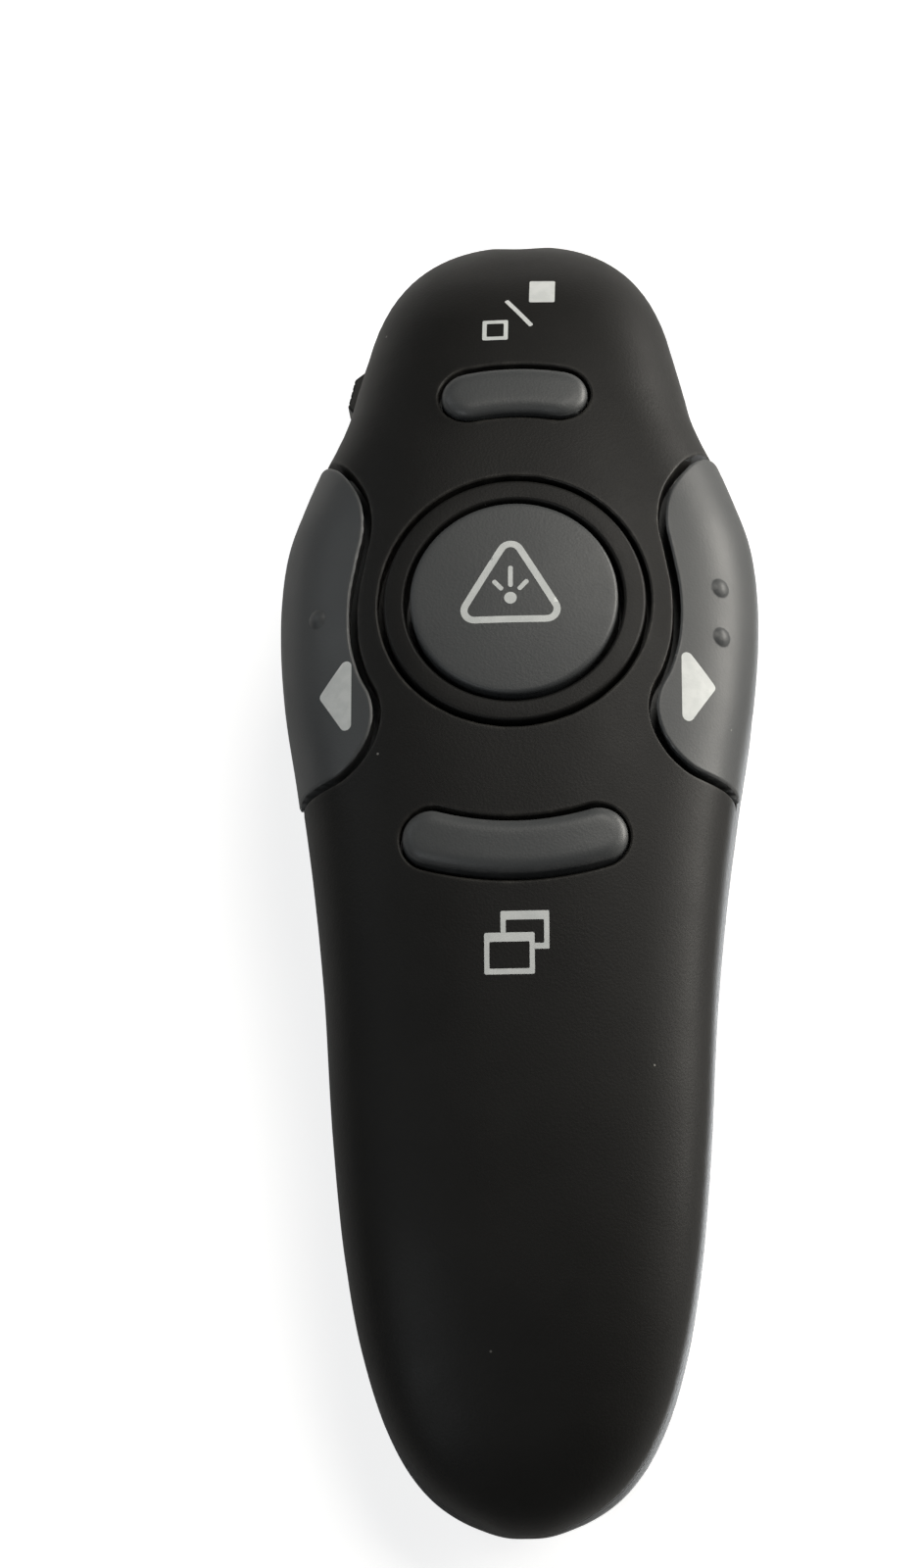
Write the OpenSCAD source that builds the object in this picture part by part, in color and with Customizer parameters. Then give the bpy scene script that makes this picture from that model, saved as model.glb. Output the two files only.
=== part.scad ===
// Hand-held wireless presentation clicker with a laser pointer, millimetres.
// X runs across the body, +Y points to the laser nose and +Z up. The origin
// is the centre of the bounding box on the plane that the flat underside rests on.

/* [Body] */
// Length from the tail to the nose
body_length = 123; // [118:0.5:128]
// Width across the two side keys
body_width = 43; // [42:0.5:46]
// Height from the rest face to the top of the round button
body_height = 27; // [26.5:0.25:29]
// Height of the joint between the shells at its highest point
joint_high = 16; // [15.5:0.25:16.5]
// Height of that joint at the tail tip
joint_tail = 7.4; // [6.5:0.1:8.5]
// Height of that joint at the nose tip
joint_nose = 8; // [7.2:0.1:9]
// Wall thickness of both shells
wall = 1.8; // [1.5:0.1:2]

/* [Round button] */
// Distance of the button and the side keys ahead of the body's middle
button_y = 18.2; // [17.2:0.1:19.2]
// Diameter of the round button
button_d = 18.4; // [17.4:0.2:19]
// Height of the button's crown above the top of the body
button_rise = 0.7; // [0.5:0.1:1]
// Width of the trim ring around the button
ring_width = 1.95; // [1.6:0.05:2.1]

/* [Keys] */
// Distance that every key travels
key_travel = 0.4; // [0.3:0.05:0.45]
// Gap around every key and ring
key_gap = 0.5; // [0.4:0.05:0.6]
// Height of the side keys above the skin of the body
key_rise = 0.3; // [0.2:0.05:0.5]
// Height of the arched keys above the skin of the body
arch_rise = 0.7; // [0.5:0.05:0.9]
// Reach of each retaining lip beyond its key's gap
lip_reach = 0.5; // [0.4:0.05:0.6]
// Thickness of each retaining lip
lip_t = 0.8; // [0.7:0.05:0.9]
// Clearance between each lip and the shell above it
lip_gap = 0.35; // [0.3:0.05:0.5]
// Running clearance between moving pieces and what guides them
run_gap = 0.15; // [0.1:0.05:0.2]
// Width of the two arched keys, measured across the arch
arch_w = 4.8; // [4.4:0.1:5]
// Arch radius of the screen key, measured from the button's centre
screen_arch_r = 21.2; // [20.9:0.1:21.6]
// Half of the screen key's length along its arch, without the round ends
screen_half = 4; // [3.8:0.1:4.6]
// Arch radius of the window key, measured from the button's centre
window_arch_r = 23.3; // [22.8:0.1:23.8]
// Half of the window key's length along its arch, without the round ends
window_half = 7.2; // [6.6:0.1:7.4]
// Diameter of the raised dots that the thumb feels on the side keys
dot_d = 1.5; // [1.2:0.1:1.8]
// Height of those dots above their key
dot_rise = 0.25; // [0.15:0.05:0.3]

/* [Power switch] */
// Distance of the power knob behind the nose tip
knob_from_nose = 16.6; // [16.1:0.1:17.1]
// Length of the knob's ridge
knob_len = 4.6; // [4.2:0.1:5]
// Travel of the knob from off to on
knob_travel = 2; // [1.5:0.1:2]
// Reach of the knob's ridge beyond the flank
knob_reach = 0.9; // [0.7:0.1:1]

/* [Power] */
// Diameter of each cell
cell_d = 10.5; // [10:0.1:10.6]
// Length of each cell with its positive nub
cell_len = 44.5; // [43:0.5:45]
// Room for the springs and plates at the ends of a cell
contact_room = 5.1; // [4.7:0.1:5.4]
// Distance of the head end of the battery bay ahead of the body's middle
bay_front = 9.2; // [9:0.1:9.6]
// Thickness of the battery cover
cover_t = 1.6; // [1.4:0.1:1.7]

/* [Electronics] */
// Height of the underside of the circuit board
board_z = 14.2; // [14.1:0.1:14.4]
// Thickness of the circuit board
board_t = 1.6; // [1.2:0.1:1.6]
// Diameter of the laser barrel
barrel_d = 6; // [5.6:0.1:6.2]
// Height of the laser's axis
laser_z = 10.5; // [10.3:0.1:10.7]

/* [Receiver] */
// Width of the receiver's plug
plug_w = 12; // [11.8:0.1:12.2]
// Height of the receiver's plug
plug_h = 4.5; // [4.4:0.1:4.6]
// Length of the receiver's plug
plug_len = 12; // [11:0.1:12.2]
// Width of the receiver's grip
grip_w = 14.6; // [14.2:0.1:14.8]
// Length of the receiver's grip
grip_len = 7; // [6.5:0.1:7.2]
// Height of the receiver's grip
grip_h = 6.5; // [6.2:0.1:6.6]
// Distance of the receiver's grip end ahead of the body's middle
grip_y = 16.2; // [16:0.1:16.4]

/* [Hidden] */

// Stations with their values squared, for curve().
function squares(s) = [for (p = s) [p[0], p[1]^2]];
// Outline of the body as [share of the half length, share of the half width].
OUTLINE = squares([[-1, 0.05], [-0.985, 0.189], [-0.97, 0.276], [-0.943, 0.383], [-0.91, 0.467],
    [-0.845, 0.571], [-0.748, 0.661], [-0.618, 0.729], [-0.455, 0.776], [-0.228, 0.818],
    [-0.065, 0.868], [0.065, 0.921], [0.195, 0.979], [0.29, 1], [0.355, 1], [0.44, 0.972],
    [0.504, 0.914], [0.561, 0.853], [0.61, 0.792], [0.65, 0.75], [0.7, 0.717],
    [0.764, 0.674], [0.829, 0.626], [0.878, 0.568], [0.919, 0.494], [0.951, 0.406],
    [0.976, 0.304], [0.992, 0.193], [1, 0.05]]);
// Height of the crown above the joint, as [share of the half length, share of its full height].
CROWN = squares([[-1, 0.055], [-0.985, 0.2], [-0.96, 0.31], [-0.91, 0.455], [-0.813, 0.6],
    [-0.65, 0.727], [-0.49, 0.8], [-0.26, 0.882], [0, 0.945], [0.195, 0.973], [0.325, 1],
    [0.455, 1.045], [0.585, 1.073], [0.715, 1.064], [0.8, 1.018], [0.86, 0.918],
    [0.905, 0.782], [0.94, 0.636], [0.968, 0.473], [0.987, 0.318], [0.996, 0.19], [1, 0.073]]);
// Depth of the underside below the joint, in the same way.
KEEL = squares([[-1, 0.03], [-0.985, 0.14], [-0.95, 0.28], [-0.88, 0.455], [-0.8, 0.59],
    [-0.72, 0.7], [-0.62, 0.79], [-0.45, 0.9], [-0.2, 0.985], [0.13, 1], [0.35, 0.985],
    [0.5, 0.92], [0.62, 0.805], [0.74, 0.66], [0.85, 0.48], [0.93, 0.335],
    [0.975, 0.215], [0.993, 0.125], [1, 0.04]]);

half_length = body_length / 2;
half_width = body_width / 2 - key_rise;
// Superellipse powers of the cross-section above and below the joint.
crown_power = 2.7;
keel_power = 4;
// The underside's curve would reach this far below the rest face, which cuts it flat.
keel_cut = 2.5;
// Where along the body the joint is highest.
joint_peak_y = 8;
crown_full = (body_height - button_rise - joint_z(button_y)) / curve(CROWN, button_y / half_length);
keel_full = joint_high + keel_cut;
// Steps along the body, round the crown and down each side of the underside.
steps_y = 44;
steps_crown = 20;
steps_side = 9;
eps = 0.01;
far = 60;

// Colours of the materials.
soft_black = [0.11, 0.11, 0.11];
key_grey = [0.3, 0.3, 0.31];
board_green = [0.08, 0.3, 0.16];
steel = [0.7, 0.7, 0.72];
brass = [0.75, 0.6, 0.3];
gold = [0.85, 0.68, 0.3];
chip_black = [0.06, 0.06, 0.07];
white_plastic = [0.85, 0.85, 0.83];
glass_red = [0.5, 0.1, 0.12];
cell_green = [0.2, 0.35, 0.3];

// ---- Curves and the skin of the body ----

// Slope at station i of a list of [x, y] stations.
function slope(s, i) =
    i == 0 ? (s[1][1] - s[0][1]) / (s[1][0] - s[0][0])
    : i == len(s) - 1 ? (s[i][1] - s[i - 1][1]) / (s[i][0] - s[i - 1][0])
    : let (a = s[i][0] - s[i - 1][0], b = s[i + 1][0] - s[i][0])
      ((s[i][1] - s[i - 1][1]) / a * b + (s[i + 1][1] - s[i][1]) / b * a) / (a + b);

// Smooth curve through the stations, read at x.
function smooth(s, x, i = 0) =
    i < len(s) - 2 && x > s[i + 1][0] ? smooth(s, x, i + 1)
    : let (h = s[i + 1][0] - s[i][0], t = min(max((x - s[i][0]) / h, 0), 1))
      (2 * t^3 - 3 * t^2 + 1) * s[i][1] + (t^3 - 2 * t^2 + t) * h * slope(s, i)
      + (3 * t^2 - 2 * t^3) * s[i + 1][1] + (t^3 - t^2) * h * slope(s, i + 1);

// The curve of a list from squares() by its roots, which rounds its two ends off.
function curve(s, x) = sqrt(max(smooth(s, x), 0));

function joint_z(y) =
    let (end = y < joint_peak_y ? -half_length : half_length,
         drop = joint_high - (y < joint_peak_y ? joint_tail : joint_nose))
    joint_high - drop * ((y - joint_peak_y) / (end - joint_peak_y))^2;
function half_w(y) = half_width * curve(OUTLINE, y / half_length);
function crown_h(y) = crown_full * curve(CROWN, y / half_length);
function keel_h(y) = keel_full * curve(KEEL, y / half_length);

// Height of the crown at a place, moved outward by out.
function crown_z(x, y, out = 0) =
    joint_z(y) + (crown_h(y) + out)
    * (1 - min(abs(x) / (half_w(y) + out), 1)^crown_power)^(1 / crown_power);
// Height of the underside at a place, moved outward by out.
function keel_z(x, y, out = 0) =
    max(joint_z(y) - (keel_h(y) + out)
    * (1 - min(abs(x) / (half_w(y) + out), 1)^keel_power)^(1 / keel_power), -out);

// Angle round a half section for a share t, with smaller steps near the joint.
function section_angle(t) = 180 * (t + (3 * t^2 - 2 * t^3)) / 2;
function power_cos(a, p) = sign(cos(a)) * abs(cos(a))^(2 / p);
function power_sin(a, p) = abs(sin(a))^(2 / p);
function station_y(i, l) = l * sin(90 * (2 * i / steps_y - 1));

// Section points above the joint; l is the half length that the station belongs to.
function crown_row(i, out) =
    let (l = half_length + out, y = station_y(i, l), yo = y * half_length / l,
         w = max(half_w(yo) + out, 0.3), h = max(crown_h(yo) + out, 0.2))
    [for (j = [0:steps_crown]) let (a = section_angle(j / steps_crown))
        [w * power_cos(a, crown_power), y, joint_z(yo) + h * power_sin(a, crown_power)]];

// Section points below the joint. Where floor_z is given the curve ends level there.
function keel_row(i, out, floor_z) =
    let (l = half_length + out, y = station_y(i, l), yo = y * half_length / l,
         w = max(half_w(yo) + out, 0.3), h = max(keel_h(yo) + out, 0.2),
         room = (joint_z(yo) - floor_z) / h,
         last = room < 0.995 ? asin(room^(keel_power / 2)) : 84,
         side = [for (j = [0:steps_side]) let (t = j / steps_side, a = last * t)
            [w * power_cos(a, keel_power), joint_z(yo) - h * power_sin(a, keel_power)]])
    concat([for (p = side) [p[0], y, p[1]]],
        [for (j = [steps_side:-1:0]) [-side[j][0], y, side[j][1]]]);

// Closed shell between an outer and an inner set of rows. Each row runs from the
// joint on the right to the joint on the left.
module shell_between(outer, inner, turned) {
    n = len(outer[0]);
    m = len(outer);
    points = concat([for (r = outer) each r], [for (r = inner) each r]);
    base = n * m;
    sides = [for (i = [0:m - 2], j = [0:n - 2]) let (a = i * n + j, b = a + 1, c = a + n, d = c + 1)
        each [[a, b, d], [a, d, c], [base + a, base + d, base + b], [base + a, base + c, base + d]]];
    rims = [for (i = [0:m - 2]) let (a = i * n, c = a + n, e = a + n - 1, f = e + n)
        each [[a, c, base + c], [a, base + c, base + a],
            [e, base + f, f], [e, base + e, base + f]]];
    tail_cap = [for (j = [1:n - 2]) each [[0, j + 1, j], [base, base + j, base + j + 1]]];
    o = (m - 1) * n;
    nose_cap = [for (j = [1:n - 2])
        each [[o, o + j, o + j + 1], [base + o, base + o + j + 1, base + o + j]]];
    ends = [[0, base, n - 1], [n - 1, base, base + n - 1],
        [o, o + n - 1, base + o], [o + n - 1, base + o + n - 1, base + o]];
    faces = concat(sides, rims, tail_cap, nose_cap, ends);
    polyhedron(points, turned ? [for (f = faces) [f[0], f[2], f[1]]] : faces, convexity = 8);
}

// Solid piece of skin between two offsets, from y0 to y1 and from angle a0 to a1.
module skin_patch(y0, y1, a0, a1, out_top, out_low, ny, na) {
    function at(i, j, out) =
        let (y = y0 + (y1 - y0) * i / ny, a = a0 + (a1 - a0) * j / na)
        [(half_w(y) + out) * power_cos(a, crown_power), y,
            joint_z(y) + (crown_h(y) + out) * power_sin(a, crown_power)];
    n = na + 1;
    points = concat([for (i = [0:ny], j = [0:na]) at(i, j, out_top)],
        [for (i = [0:ny], j = [0:na]) at(i, j, out_low)]);
    b = n * (ny + 1);
    skin = [for (i = [0:ny - 1], j = [0:na - 1]) let (p = i * n + j, q = p + n)
        each [[p, p + 1, q + 1], [p, q + 1, q], [b + p, b + q + 1, b + p + 1], [b + p, b + q, b + q + 1]]];
    long_edges = [for (i = [0:ny - 1]) let (p = i * n, q = p + n, r = p + na, s = r + n)
        each [[p, q, b + q], [p, b + q, b + p], [r, b + s, s], [r, b + r, b + s]]];
    short_edges = [for (j = [0:na - 1]) let (o = ny * n)
        each [[j, b + j + 1, j + 1], [j, b + j, b + j + 1],
            [o + j, o + j + 1, b + o + j + 1], [o + j, b + o + j + 1, b + o + j]]];
    polyhedron(points, concat(skin, long_edges, short_edges), convexity = 6);
}

// ---- Plan outlines ----

// Arched pill around the button's centre; side is 1 ahead of the button, -1 behind it.
module arch_plan(radius, half, grow, side) {
    span = asin(half / radius);
    r = arch_w / 2 + grow;
    n = 12;
    function at(ra, a) = [ra * sin(a), side * ra * cos(a)];
    out_edge = [for (i = [0:n]) at(radius + r, -span + 2 * span * i / n)];
    cap_a = [for (i = [1:n - 1])
        at(radius, span) + r * [sin(span + 180 * i / n), side * cos(span + 180 * i / n)]];
    in_edge = [for (i = [0:n]) at(radius - r, span - 2 * span * i / n)];
    cap_b = [for (i = [1:n - 1])
        at(radius, -span) + r * [sin(180 - span + 180 * i / n), side * cos(180 - span + 180 * i / n)]];
    translate([0, button_y]) polygon(concat(out_edge, cap_a, in_edge, cap_b));
}

// Inner edge of a side key as [depth in from the widest flank, y past the button's
// centre], nose end first.
KEY_EDGE = [[-2.8, 17.2], [2.8, 16.8], [5, 15.2], [6.6, 12.8], [7.6, 10.4], [7.85, 7.6],
    [7.3, 4.6], [6.7, 0.8], [6.8, -3.2], [7.6, -6.4], [8.6, -8.6], [8.85, -10.6],
    [8.2, -12.8], [6.6, -14.8], [4.2, -15.8], [-2.8, -16.4]];
key_steps = 4;

// Round curve through the points of a path, with n steps from point to point.
function along(p, i, t) =
    let (a = p[max(i - 1, 0)], b = p[i], c = p[i + 1], d = p[min(i + 2, len(p) - 1)])
    0.5 * (2 * b + (c - a) * t + (2 * a - 5 * b + 4 * c - d) * t^2 + (3 * b - a - 3 * c + d) * t^3);
function rounded_path(p, n) =
    concat([for (i = [0:len(p) - 2], k = [0:n - 1]) along(p, i, k / n)], [p[len(p) - 1]]);
// The path moved sideways, to its left as it runs.
function moved_path(p, by) =
    [for (i = [0:len(p) - 1])
        let (d = p[min(i + 1, len(p) - 1)] - p[max(i - 1, 0)], u = d / norm(d))
        p[i] + by * [-u[1], u[0]]];

// Plan of a side key, grown by grow on its inner edge; side is 1 right, -1 left.
module key_plan(side, grow) {
    edge = moved_path(rounded_path(KEY_EDGE, key_steps), grow);
    placed = [for (p = edge) [side * (half_width - p[0]), button_y + p[1]]];
    polygon(concat(placed, [[side * far, placed[len(placed) - 1][1]], [side * far, placed[0][1]]]));
}

module rounded_plan(x, y0, y1, r) {
    for (sx = [-1, 1], y = [y0 + r, y1 - r]) translate([sx * (x - r), y]) circle(r, $fn = 48);
    translate([-x, y0 + r]) square([2 * x, y1 - y0 - 2 * r]);
    translate([-x + r, y0]) square([2 * (x - r), y1 - y0]);
}

// ---- Shared places ----

key_lift = board_z + board_t;
// Tactile switches: width and height of the body, and how far its pads stick out.
big_switch_w = 6;
big_switch_h = 3.5;
big_stem_top = key_lift + 5.2;
big_stem_r = 1.7;
small_switch_w = 4.5;
small_switch_h = 2;
small_stem_r = 1.3;
well_floor = 1;
pad_reach = 0.65;
pad_w = 0.6;
pad_t = 0.3;
side_switch_x = half_width - 7.7;
side_switch_y = button_y - 8.5;
screen_y = button_y + screen_arch_r;
window_y = button_y - window_arch_r;
// Posts under the keys, and how far they reach below the lip.
post_r = 1.6;
post_drop = 0.5;

// Ring and button, as radii and heights.
button_r = button_d / 2;
ring_in = button_r + key_gap;
ring_out = ring_in + ring_width;
ring_hole = ring_out + key_gap;
ring_seat = 0.15;
ring_flange = ring_hole + lip_reach + 0.3;
ring_low = crown_z(ring_flange, button_y, -wall) - ring_seat - lip_t;
button_flange_top = ring_low - run_gap;
button_flange_r = ring_in + lip_reach + 0.2;
button_wall = 1.3;
button_dome = 0.45;
edge_round = 0.3;

// Screws.
screw_r = 1;
thread_fit = 0.02;
hole_depth_spare = 0.5;
hole_gap = 0.12;
head_r = 1.9;
head_h = 1.5;
head_well_r = 2.2;
boss_r = 3.2;
upper_boss_r = 2;
front_screw = [11.6, 33.6];
front_seat_z = 8;
front_tip_z = key_lift + 4.4;
rear_screw = [6, -49.2];
rear_seat_z = 3.4;
rear_tip_z = joint_z(rear_screw[1]) + 3;
board_screw = [12, -0.6];
board_head_r = 1.7;
board_head_h = 1.3;
board_tip_z = key_lift + 3.4;

// Battery bay. The cells lie side by side, with the left one's nub to the nose.
cell_r = cell_d / 2;
cell_x = cell_r + 0.15;
cell_z = cover_t + 0.25 + cell_r;
bay_r = cell_r + 0.35;
bay_wall = 1.2;
bay_x = cell_x + bay_r;
bay_back = bay_front - cell_len - contact_room;
plate_t = 0.4;
bump_len = 0.45;
bump_r = 1.5;
cell_slack = 0.05;
nub_len = 0.9;
nub_r = 1.9;
rim = 0.4;
plate_w = 8;
plate_low = 4;
plate_high = 3;
tab_w = 2;
spring_room = contact_room - 2 * plate_t - bump_len - cell_slack;
spring_r = 3.4;
spring_taper = 1.2;
spring_wire_r = 0.3;
// Cover and its recess.
cover_x = bay_x + 1.3;
cover_gap = 0.15;
cover_back = bay_back - 3.2;
cover_front = bay_front + 2.75;
cover_corner = 5;
groove_reach = 6;
groove_start = 4;
groove_w = 0.8;
groove_depth = 0.35;
hinge_gap = 0.35;
hinge_y = cover_front + 0.8;
hinge_z = 1.2;
hinge_r = 0.5;
hinge_fit = 0.06;
hinge_x = 7;
hinge_w = 4;
frame_t = cover_t + 1.7;
frame_edge = 0.5;

// Receiver, its plug to the nose, lifted out downward.
seat_gap = 0.12;
grip_z = 0.3;
plug_z = grip_z + (grip_h - plug_h) / 2;
pocket_wall = 1.2;
pocket_roof = grip_z + grip_h + 0.2;
notch_lap = 0.5;
notch_w = 4;
notch_len = 3.8;
notch_top = 3.4;

// Power switch, under the left edge of the board.
knob_z = board_z - 1.8;
knob_h = 2.6;
slide_inset = 3.1;
slide_w = 3.6;
slide_len = 8.6;
slide_h = 3.4;
knob_y = half_length - knob_from_nose;
flank_x = half_w(knob_y);
slide_x = -(flank_x - wall - slide_inset);
lever_w = 1.5;
lever_depth = 2.2;
knob_back = slide_x - 0.5;
knob_flange_t = 0.6;
knob_flange_lap = 0.35;
knob_taper = 0.9;

// Laser.
barrel_r = barrel_d / 2;
barrel_back = half_length - 15.2;
barrel_front = half_length - 4.6;
nose_y = half_length - 2;
// Ribs under the barrel, measured from its two ends.
rib_inset = 1.5;
rib_setback = 3.5;
rib_t = 1.6;
rib_lap = 0.8;
bore_r = 1.7;
diode_r = 2.25;
diode_rim = 1.2;
diode_in = 1.2;
lead_r = 0.2;
lead_x = 1.27;
lead_y = barrel_back - 1.4;
lens_r = 2.15;
lens_in = 2;
lens_t = 1.1;
aperture_r = 1.6;
window_in = 1.6;
window_t = 0.8;

// ---- Small shared solids ----

// Cylinder along +Y from a point.
module rod_y(x, y, z, r, l) {
    translate([x, y, z]) rotate([-90, 0, 0]) cylinder(h = l, r = r, $fn = 48);
}
// Box from its lowest corner to its highest.
module block(a, b) {
    translate(a) cube(b - a);
}
module upright(p, z0, z1, r) {
    translate([p[0], p[1], z0]) cylinder(h = z1 - z0, r = r, $fn = 48);
}

// Screw standing on its point side up: seat is the height where the head bears.
module screw_up(p, seat, tip, r, hr, hh) {
    difference() {
        union() {
            upright(p, seat - hh, seat, hr);
            upright(p, seat - eps, tip, r);
        }
        for (turn = [0, 90])
            translate([p[0], p[1], seat - hh]) rotate(turn)
                cube([1.1 * hr, 0.24 * hr, hh], center = true);
    }
}

// Tactile switch body with a well for its stem.
module tact_switch(p, w, h, stem_r) {
    difference() {
        union() {
            block([p[0] - w / 2, p[1] - w / 2, key_lift], [p[0] + w / 2, p[1] + w / 2, key_lift + h]);
            for (sy = [-0.3, 0.3])
                block([p[0] - w / 2 - pad_reach, p[1] + sy * w - pad_w / 2, key_lift],
                    [p[0] + w / 2 + pad_reach, p[1] + sy * w + pad_w / 2, key_lift + pad_t]);
        }
        upright(p, key_lift + well_floor, key_lift + h + well_floor, stem_r + run_gap / 2);
    }
}
module tact_stem(p, top, stem_r) {
    upright(p, key_lift + well_floor + key_travel + run_gap, top, stem_r);
}

// ---- Shells ----

module key_openings() {
    upright([0, button_y], 5, far, ring_hole);
    translate([0, 0, key_lift + 3]) linear_extrude(far)
        arch_plan(screen_arch_r, screen_half, key_gap, 1);
    translate([0, 0, key_lift + 3]) linear_extrude(far)
        arch_plan(window_arch_r, window_half, key_gap, -1);
    for (side = [-1, 1]) translate([0, 0, -far / 2]) linear_extrude(2 * far)
        key_plan(side, key_gap);
}

module knob_slot() {
    block([-flank_x - 5, knob_y - knob_len / 2 - run_gap, knob_z - knob_h / 2 - run_gap],
        [knob_back, knob_y + knob_len / 2 + knob_travel + run_gap, knob_z + knob_h / 2 + run_gap]);
}

module upper_shell() {
    color(soft_black) difference() {
        union() {
            shell_between([for (i = [0:steps_y]) crown_row(i, 0)],
                [for (i = [0:steps_y]) crown_row(i, -wall)], false);
            for (sx = [-1, 1]) {
                upright([sx * front_screw[0], front_screw[1]], key_lift,
                    crown_z(front_screw[0], front_screw[1]) - wall / 2, upper_boss_r);
                upright([sx * board_screw[0], board_screw[1]], key_lift,
                    crown_z(board_screw[0], board_screw[1]) - wall / 2, upper_boss_r);
                upright([sx * rear_screw[0], rear_screw[1]], joint_z(rear_screw[1]) + 0.05,
                    crown_z(rear_screw[0], rear_screw[1]) - wall / 2, upper_boss_r);
            }
        }
        key_openings();
        knob_slot();
        rod_y(0, half_length - 8, laser_z, barrel_r + 0.1, 20);
        for (sx = [-1, 1]) {
            screw_hole(sx, front_screw, key_lift - 1, front_tip_z);
            screw_hole(sx, board_screw, key_lift - 1, board_tip_z);
            screw_hole(sx, rear_screw, rear_seat_z, rear_tip_z);
        }
    }
}

// Blind hole that a screw's thread bites into, a little deeper than the screw's tip.
module screw_hole(sx, screw, z_low, tip_z) {
    upright([sx * screw[0], screw[1]], z_low, tip_z + hole_depth_spare, screw_r + thread_fit);
}

// Outer form of the battery bay, grown from the cells.
module bay_form(grow, z_low) {
    bay_len = bay_front - bay_back + 2 * grow;
    for (sx = [-1, 1]) rod_y(sx * cell_x, bay_back - grow, cell_z, bay_r + grow, bay_len);
    block([-bay_x - grow, bay_back - grow, z_low], [bay_x + grow, bay_front + grow, cell_z]);
    block([-cell_x, bay_back - grow, cell_z - 1], [cell_x, bay_front + grow, cell_z + bay_r * 0.5 + grow]);
}

// Room beside the receiver's grip for a fingertip.
module finger_notch(x) {
    block([x - notch_w / 2, grip_y + (grip_len - notch_len) / 2, -1],
        [x + notch_w / 2, grip_y + (grip_len + notch_len) / 2, notch_top]);
}

module lower_shell() {
    color(soft_black) difference() {
        union() {
            difference() {
                shell_between([for (i = [0:steps_y]) keel_row(i, 0, -far)],
                    [for (i = [0:steps_y]) keel_row(i, -wall, wall)], true);
                translate([-far, -far * 2, -far]) cube([2 * far, 4 * far, far]);
            }
            translate([0, 0, eps]) linear_extrude(frame_t) rounded_plan(cover_x + frame_edge,
                cover_back - frame_edge, hinge_y + 1.2, cover_corner + frame_edge);
            bay_form(bay_wall, frame_t);
            block([-grip_w / 2 - pocket_wall, grip_y - pocket_wall, eps],
                [grip_w / 2 + pocket_wall, grip_y + grip_len + plug_len + pocket_wall + seat_gap,
                    pocket_roof + pocket_wall]);
            for (sx = [-1, 1]) {
                upright([sx * front_screw[0], front_screw[1]], eps, board_z, boss_r);
                upright([sx * rear_screw[0], rear_screw[1]], eps, joint_z(rear_screw[1]) - 0.05, boss_r);
            }
            for (y = [barrel_back + rib_inset, barrel_front - rib_setback])
                block([-barrel_r - rib_lap, y, keel_z(0, y + 1) + wall / 2],
                    [barrel_r + rib_lap, y + rib_t, laser_z]);
        }
        bay_form(0, -1);
        translate([0, 0, -1]) linear_extrude(1 + cover_t + 0.1) rounded_plan(cover_x + cover_gap,
            cover_back - cover_gap, cover_front + hinge_gap, cover_corner + cover_gap);
        for (sx = [-1, 1]) {
            block([sx * hinge_x - hinge_w / 2 - run_gap, cover_front, hinge_z - hinge_r - hinge_fit],
                [sx * hinge_x + hinge_w / 2 + run_gap, hinge_y, cover_t + 0.1]);
            translate([sx * hinge_x - hinge_w / 2 - run_gap, hinge_y, hinge_z]) rotate([0, 90, 0])
                cylinder(h = hinge_w + 2 * run_gap, r = hinge_r + hinge_fit, $fn = 48);
            block([sx * cell_x - tab_w / 2 - 0.7, bay_front - plate_t - 0.1, cell_z],
                [sx * cell_x + tab_w / 2 + 0.7, bay_front, board_z]);
            upright([sx * front_screw[0], front_screw[1]], -1, front_seat_z, head_well_r);
            upright([sx * front_screw[0], front_screw[1]], -1, far, screw_r + hole_gap);
            upright([sx * rear_screw[0], rear_screw[1]], -1, rear_seat_z, head_well_r);
            upright([sx * rear_screw[0], rear_screw[1]], -1, far, screw_r + hole_gap);
            finger_notch(sx * (grip_w / 2 - notch_lap));
        }
        block([-grip_w / 2 - seat_gap, grip_y - seat_gap, -1],
            [grip_w / 2 + seat_gap, grip_y + grip_len + seat_gap, pocket_roof]);
        block([-plug_w / 2 - seat_gap, grip_y, -1],
            [plug_w / 2 + seat_gap, grip_y + grip_len + plug_len + seat_gap, plug_z + plug_h + 0.2]);
        rod_y(0, barrel_back - 1, laser_z, barrel_r + 0.1, 20);
        knob_slot();
    }
}

// ---- Ring, button and keys ----

// Tube round the button, from the ring's low end up by h.
module ring_stage(r, h) {
    translate([0, button_y, ring_low]) linear_extrude(h) difference() {
        circle(r, $fn = 96);
        circle(ring_in, $fn = 96);
    }
}

// Ring with a flange under the shell. Its top follows the crown, a little above it.
module bezel_ring() {
    color(soft_black) union() {
        ring_stage(ring_flange, lip_t);
        intersection() {
            skin_patch(button_y - ring_hole, button_y + ring_hole, 30, 150, key_rise / 3,
                ring_low - body_height, 16, 20);
            ring_stage(ring_out, body_height);
        }
    }
}

module laser_button() {
    dome_z = body_height - button_dome;
    roof_z = dome_z - button_wall;
    n = 8;
    top = [for (i = [0:n]) let (s = i / n)
        [button_r * (1 - s) - edge_round * (1 - s)^n, dome_z + button_dome * (1 - (1 - s)^2)]];
    color(key_grey) translate([0, button_y, 0]) rotate_extrude($fn = 96)
        polygon(concat([[0, big_stem_top], [big_stem_r, big_stem_top], [big_stem_r, roof_z],
            [button_r - button_wall, roof_z], [button_r - button_wall, button_flange_top - lip_t],
            [button_flange_r, button_flange_top - lip_t], [button_flange_r, button_flange_top],
            [button_r, button_flange_top], [button_r, dome_z - edge_round]], top));
}

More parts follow.
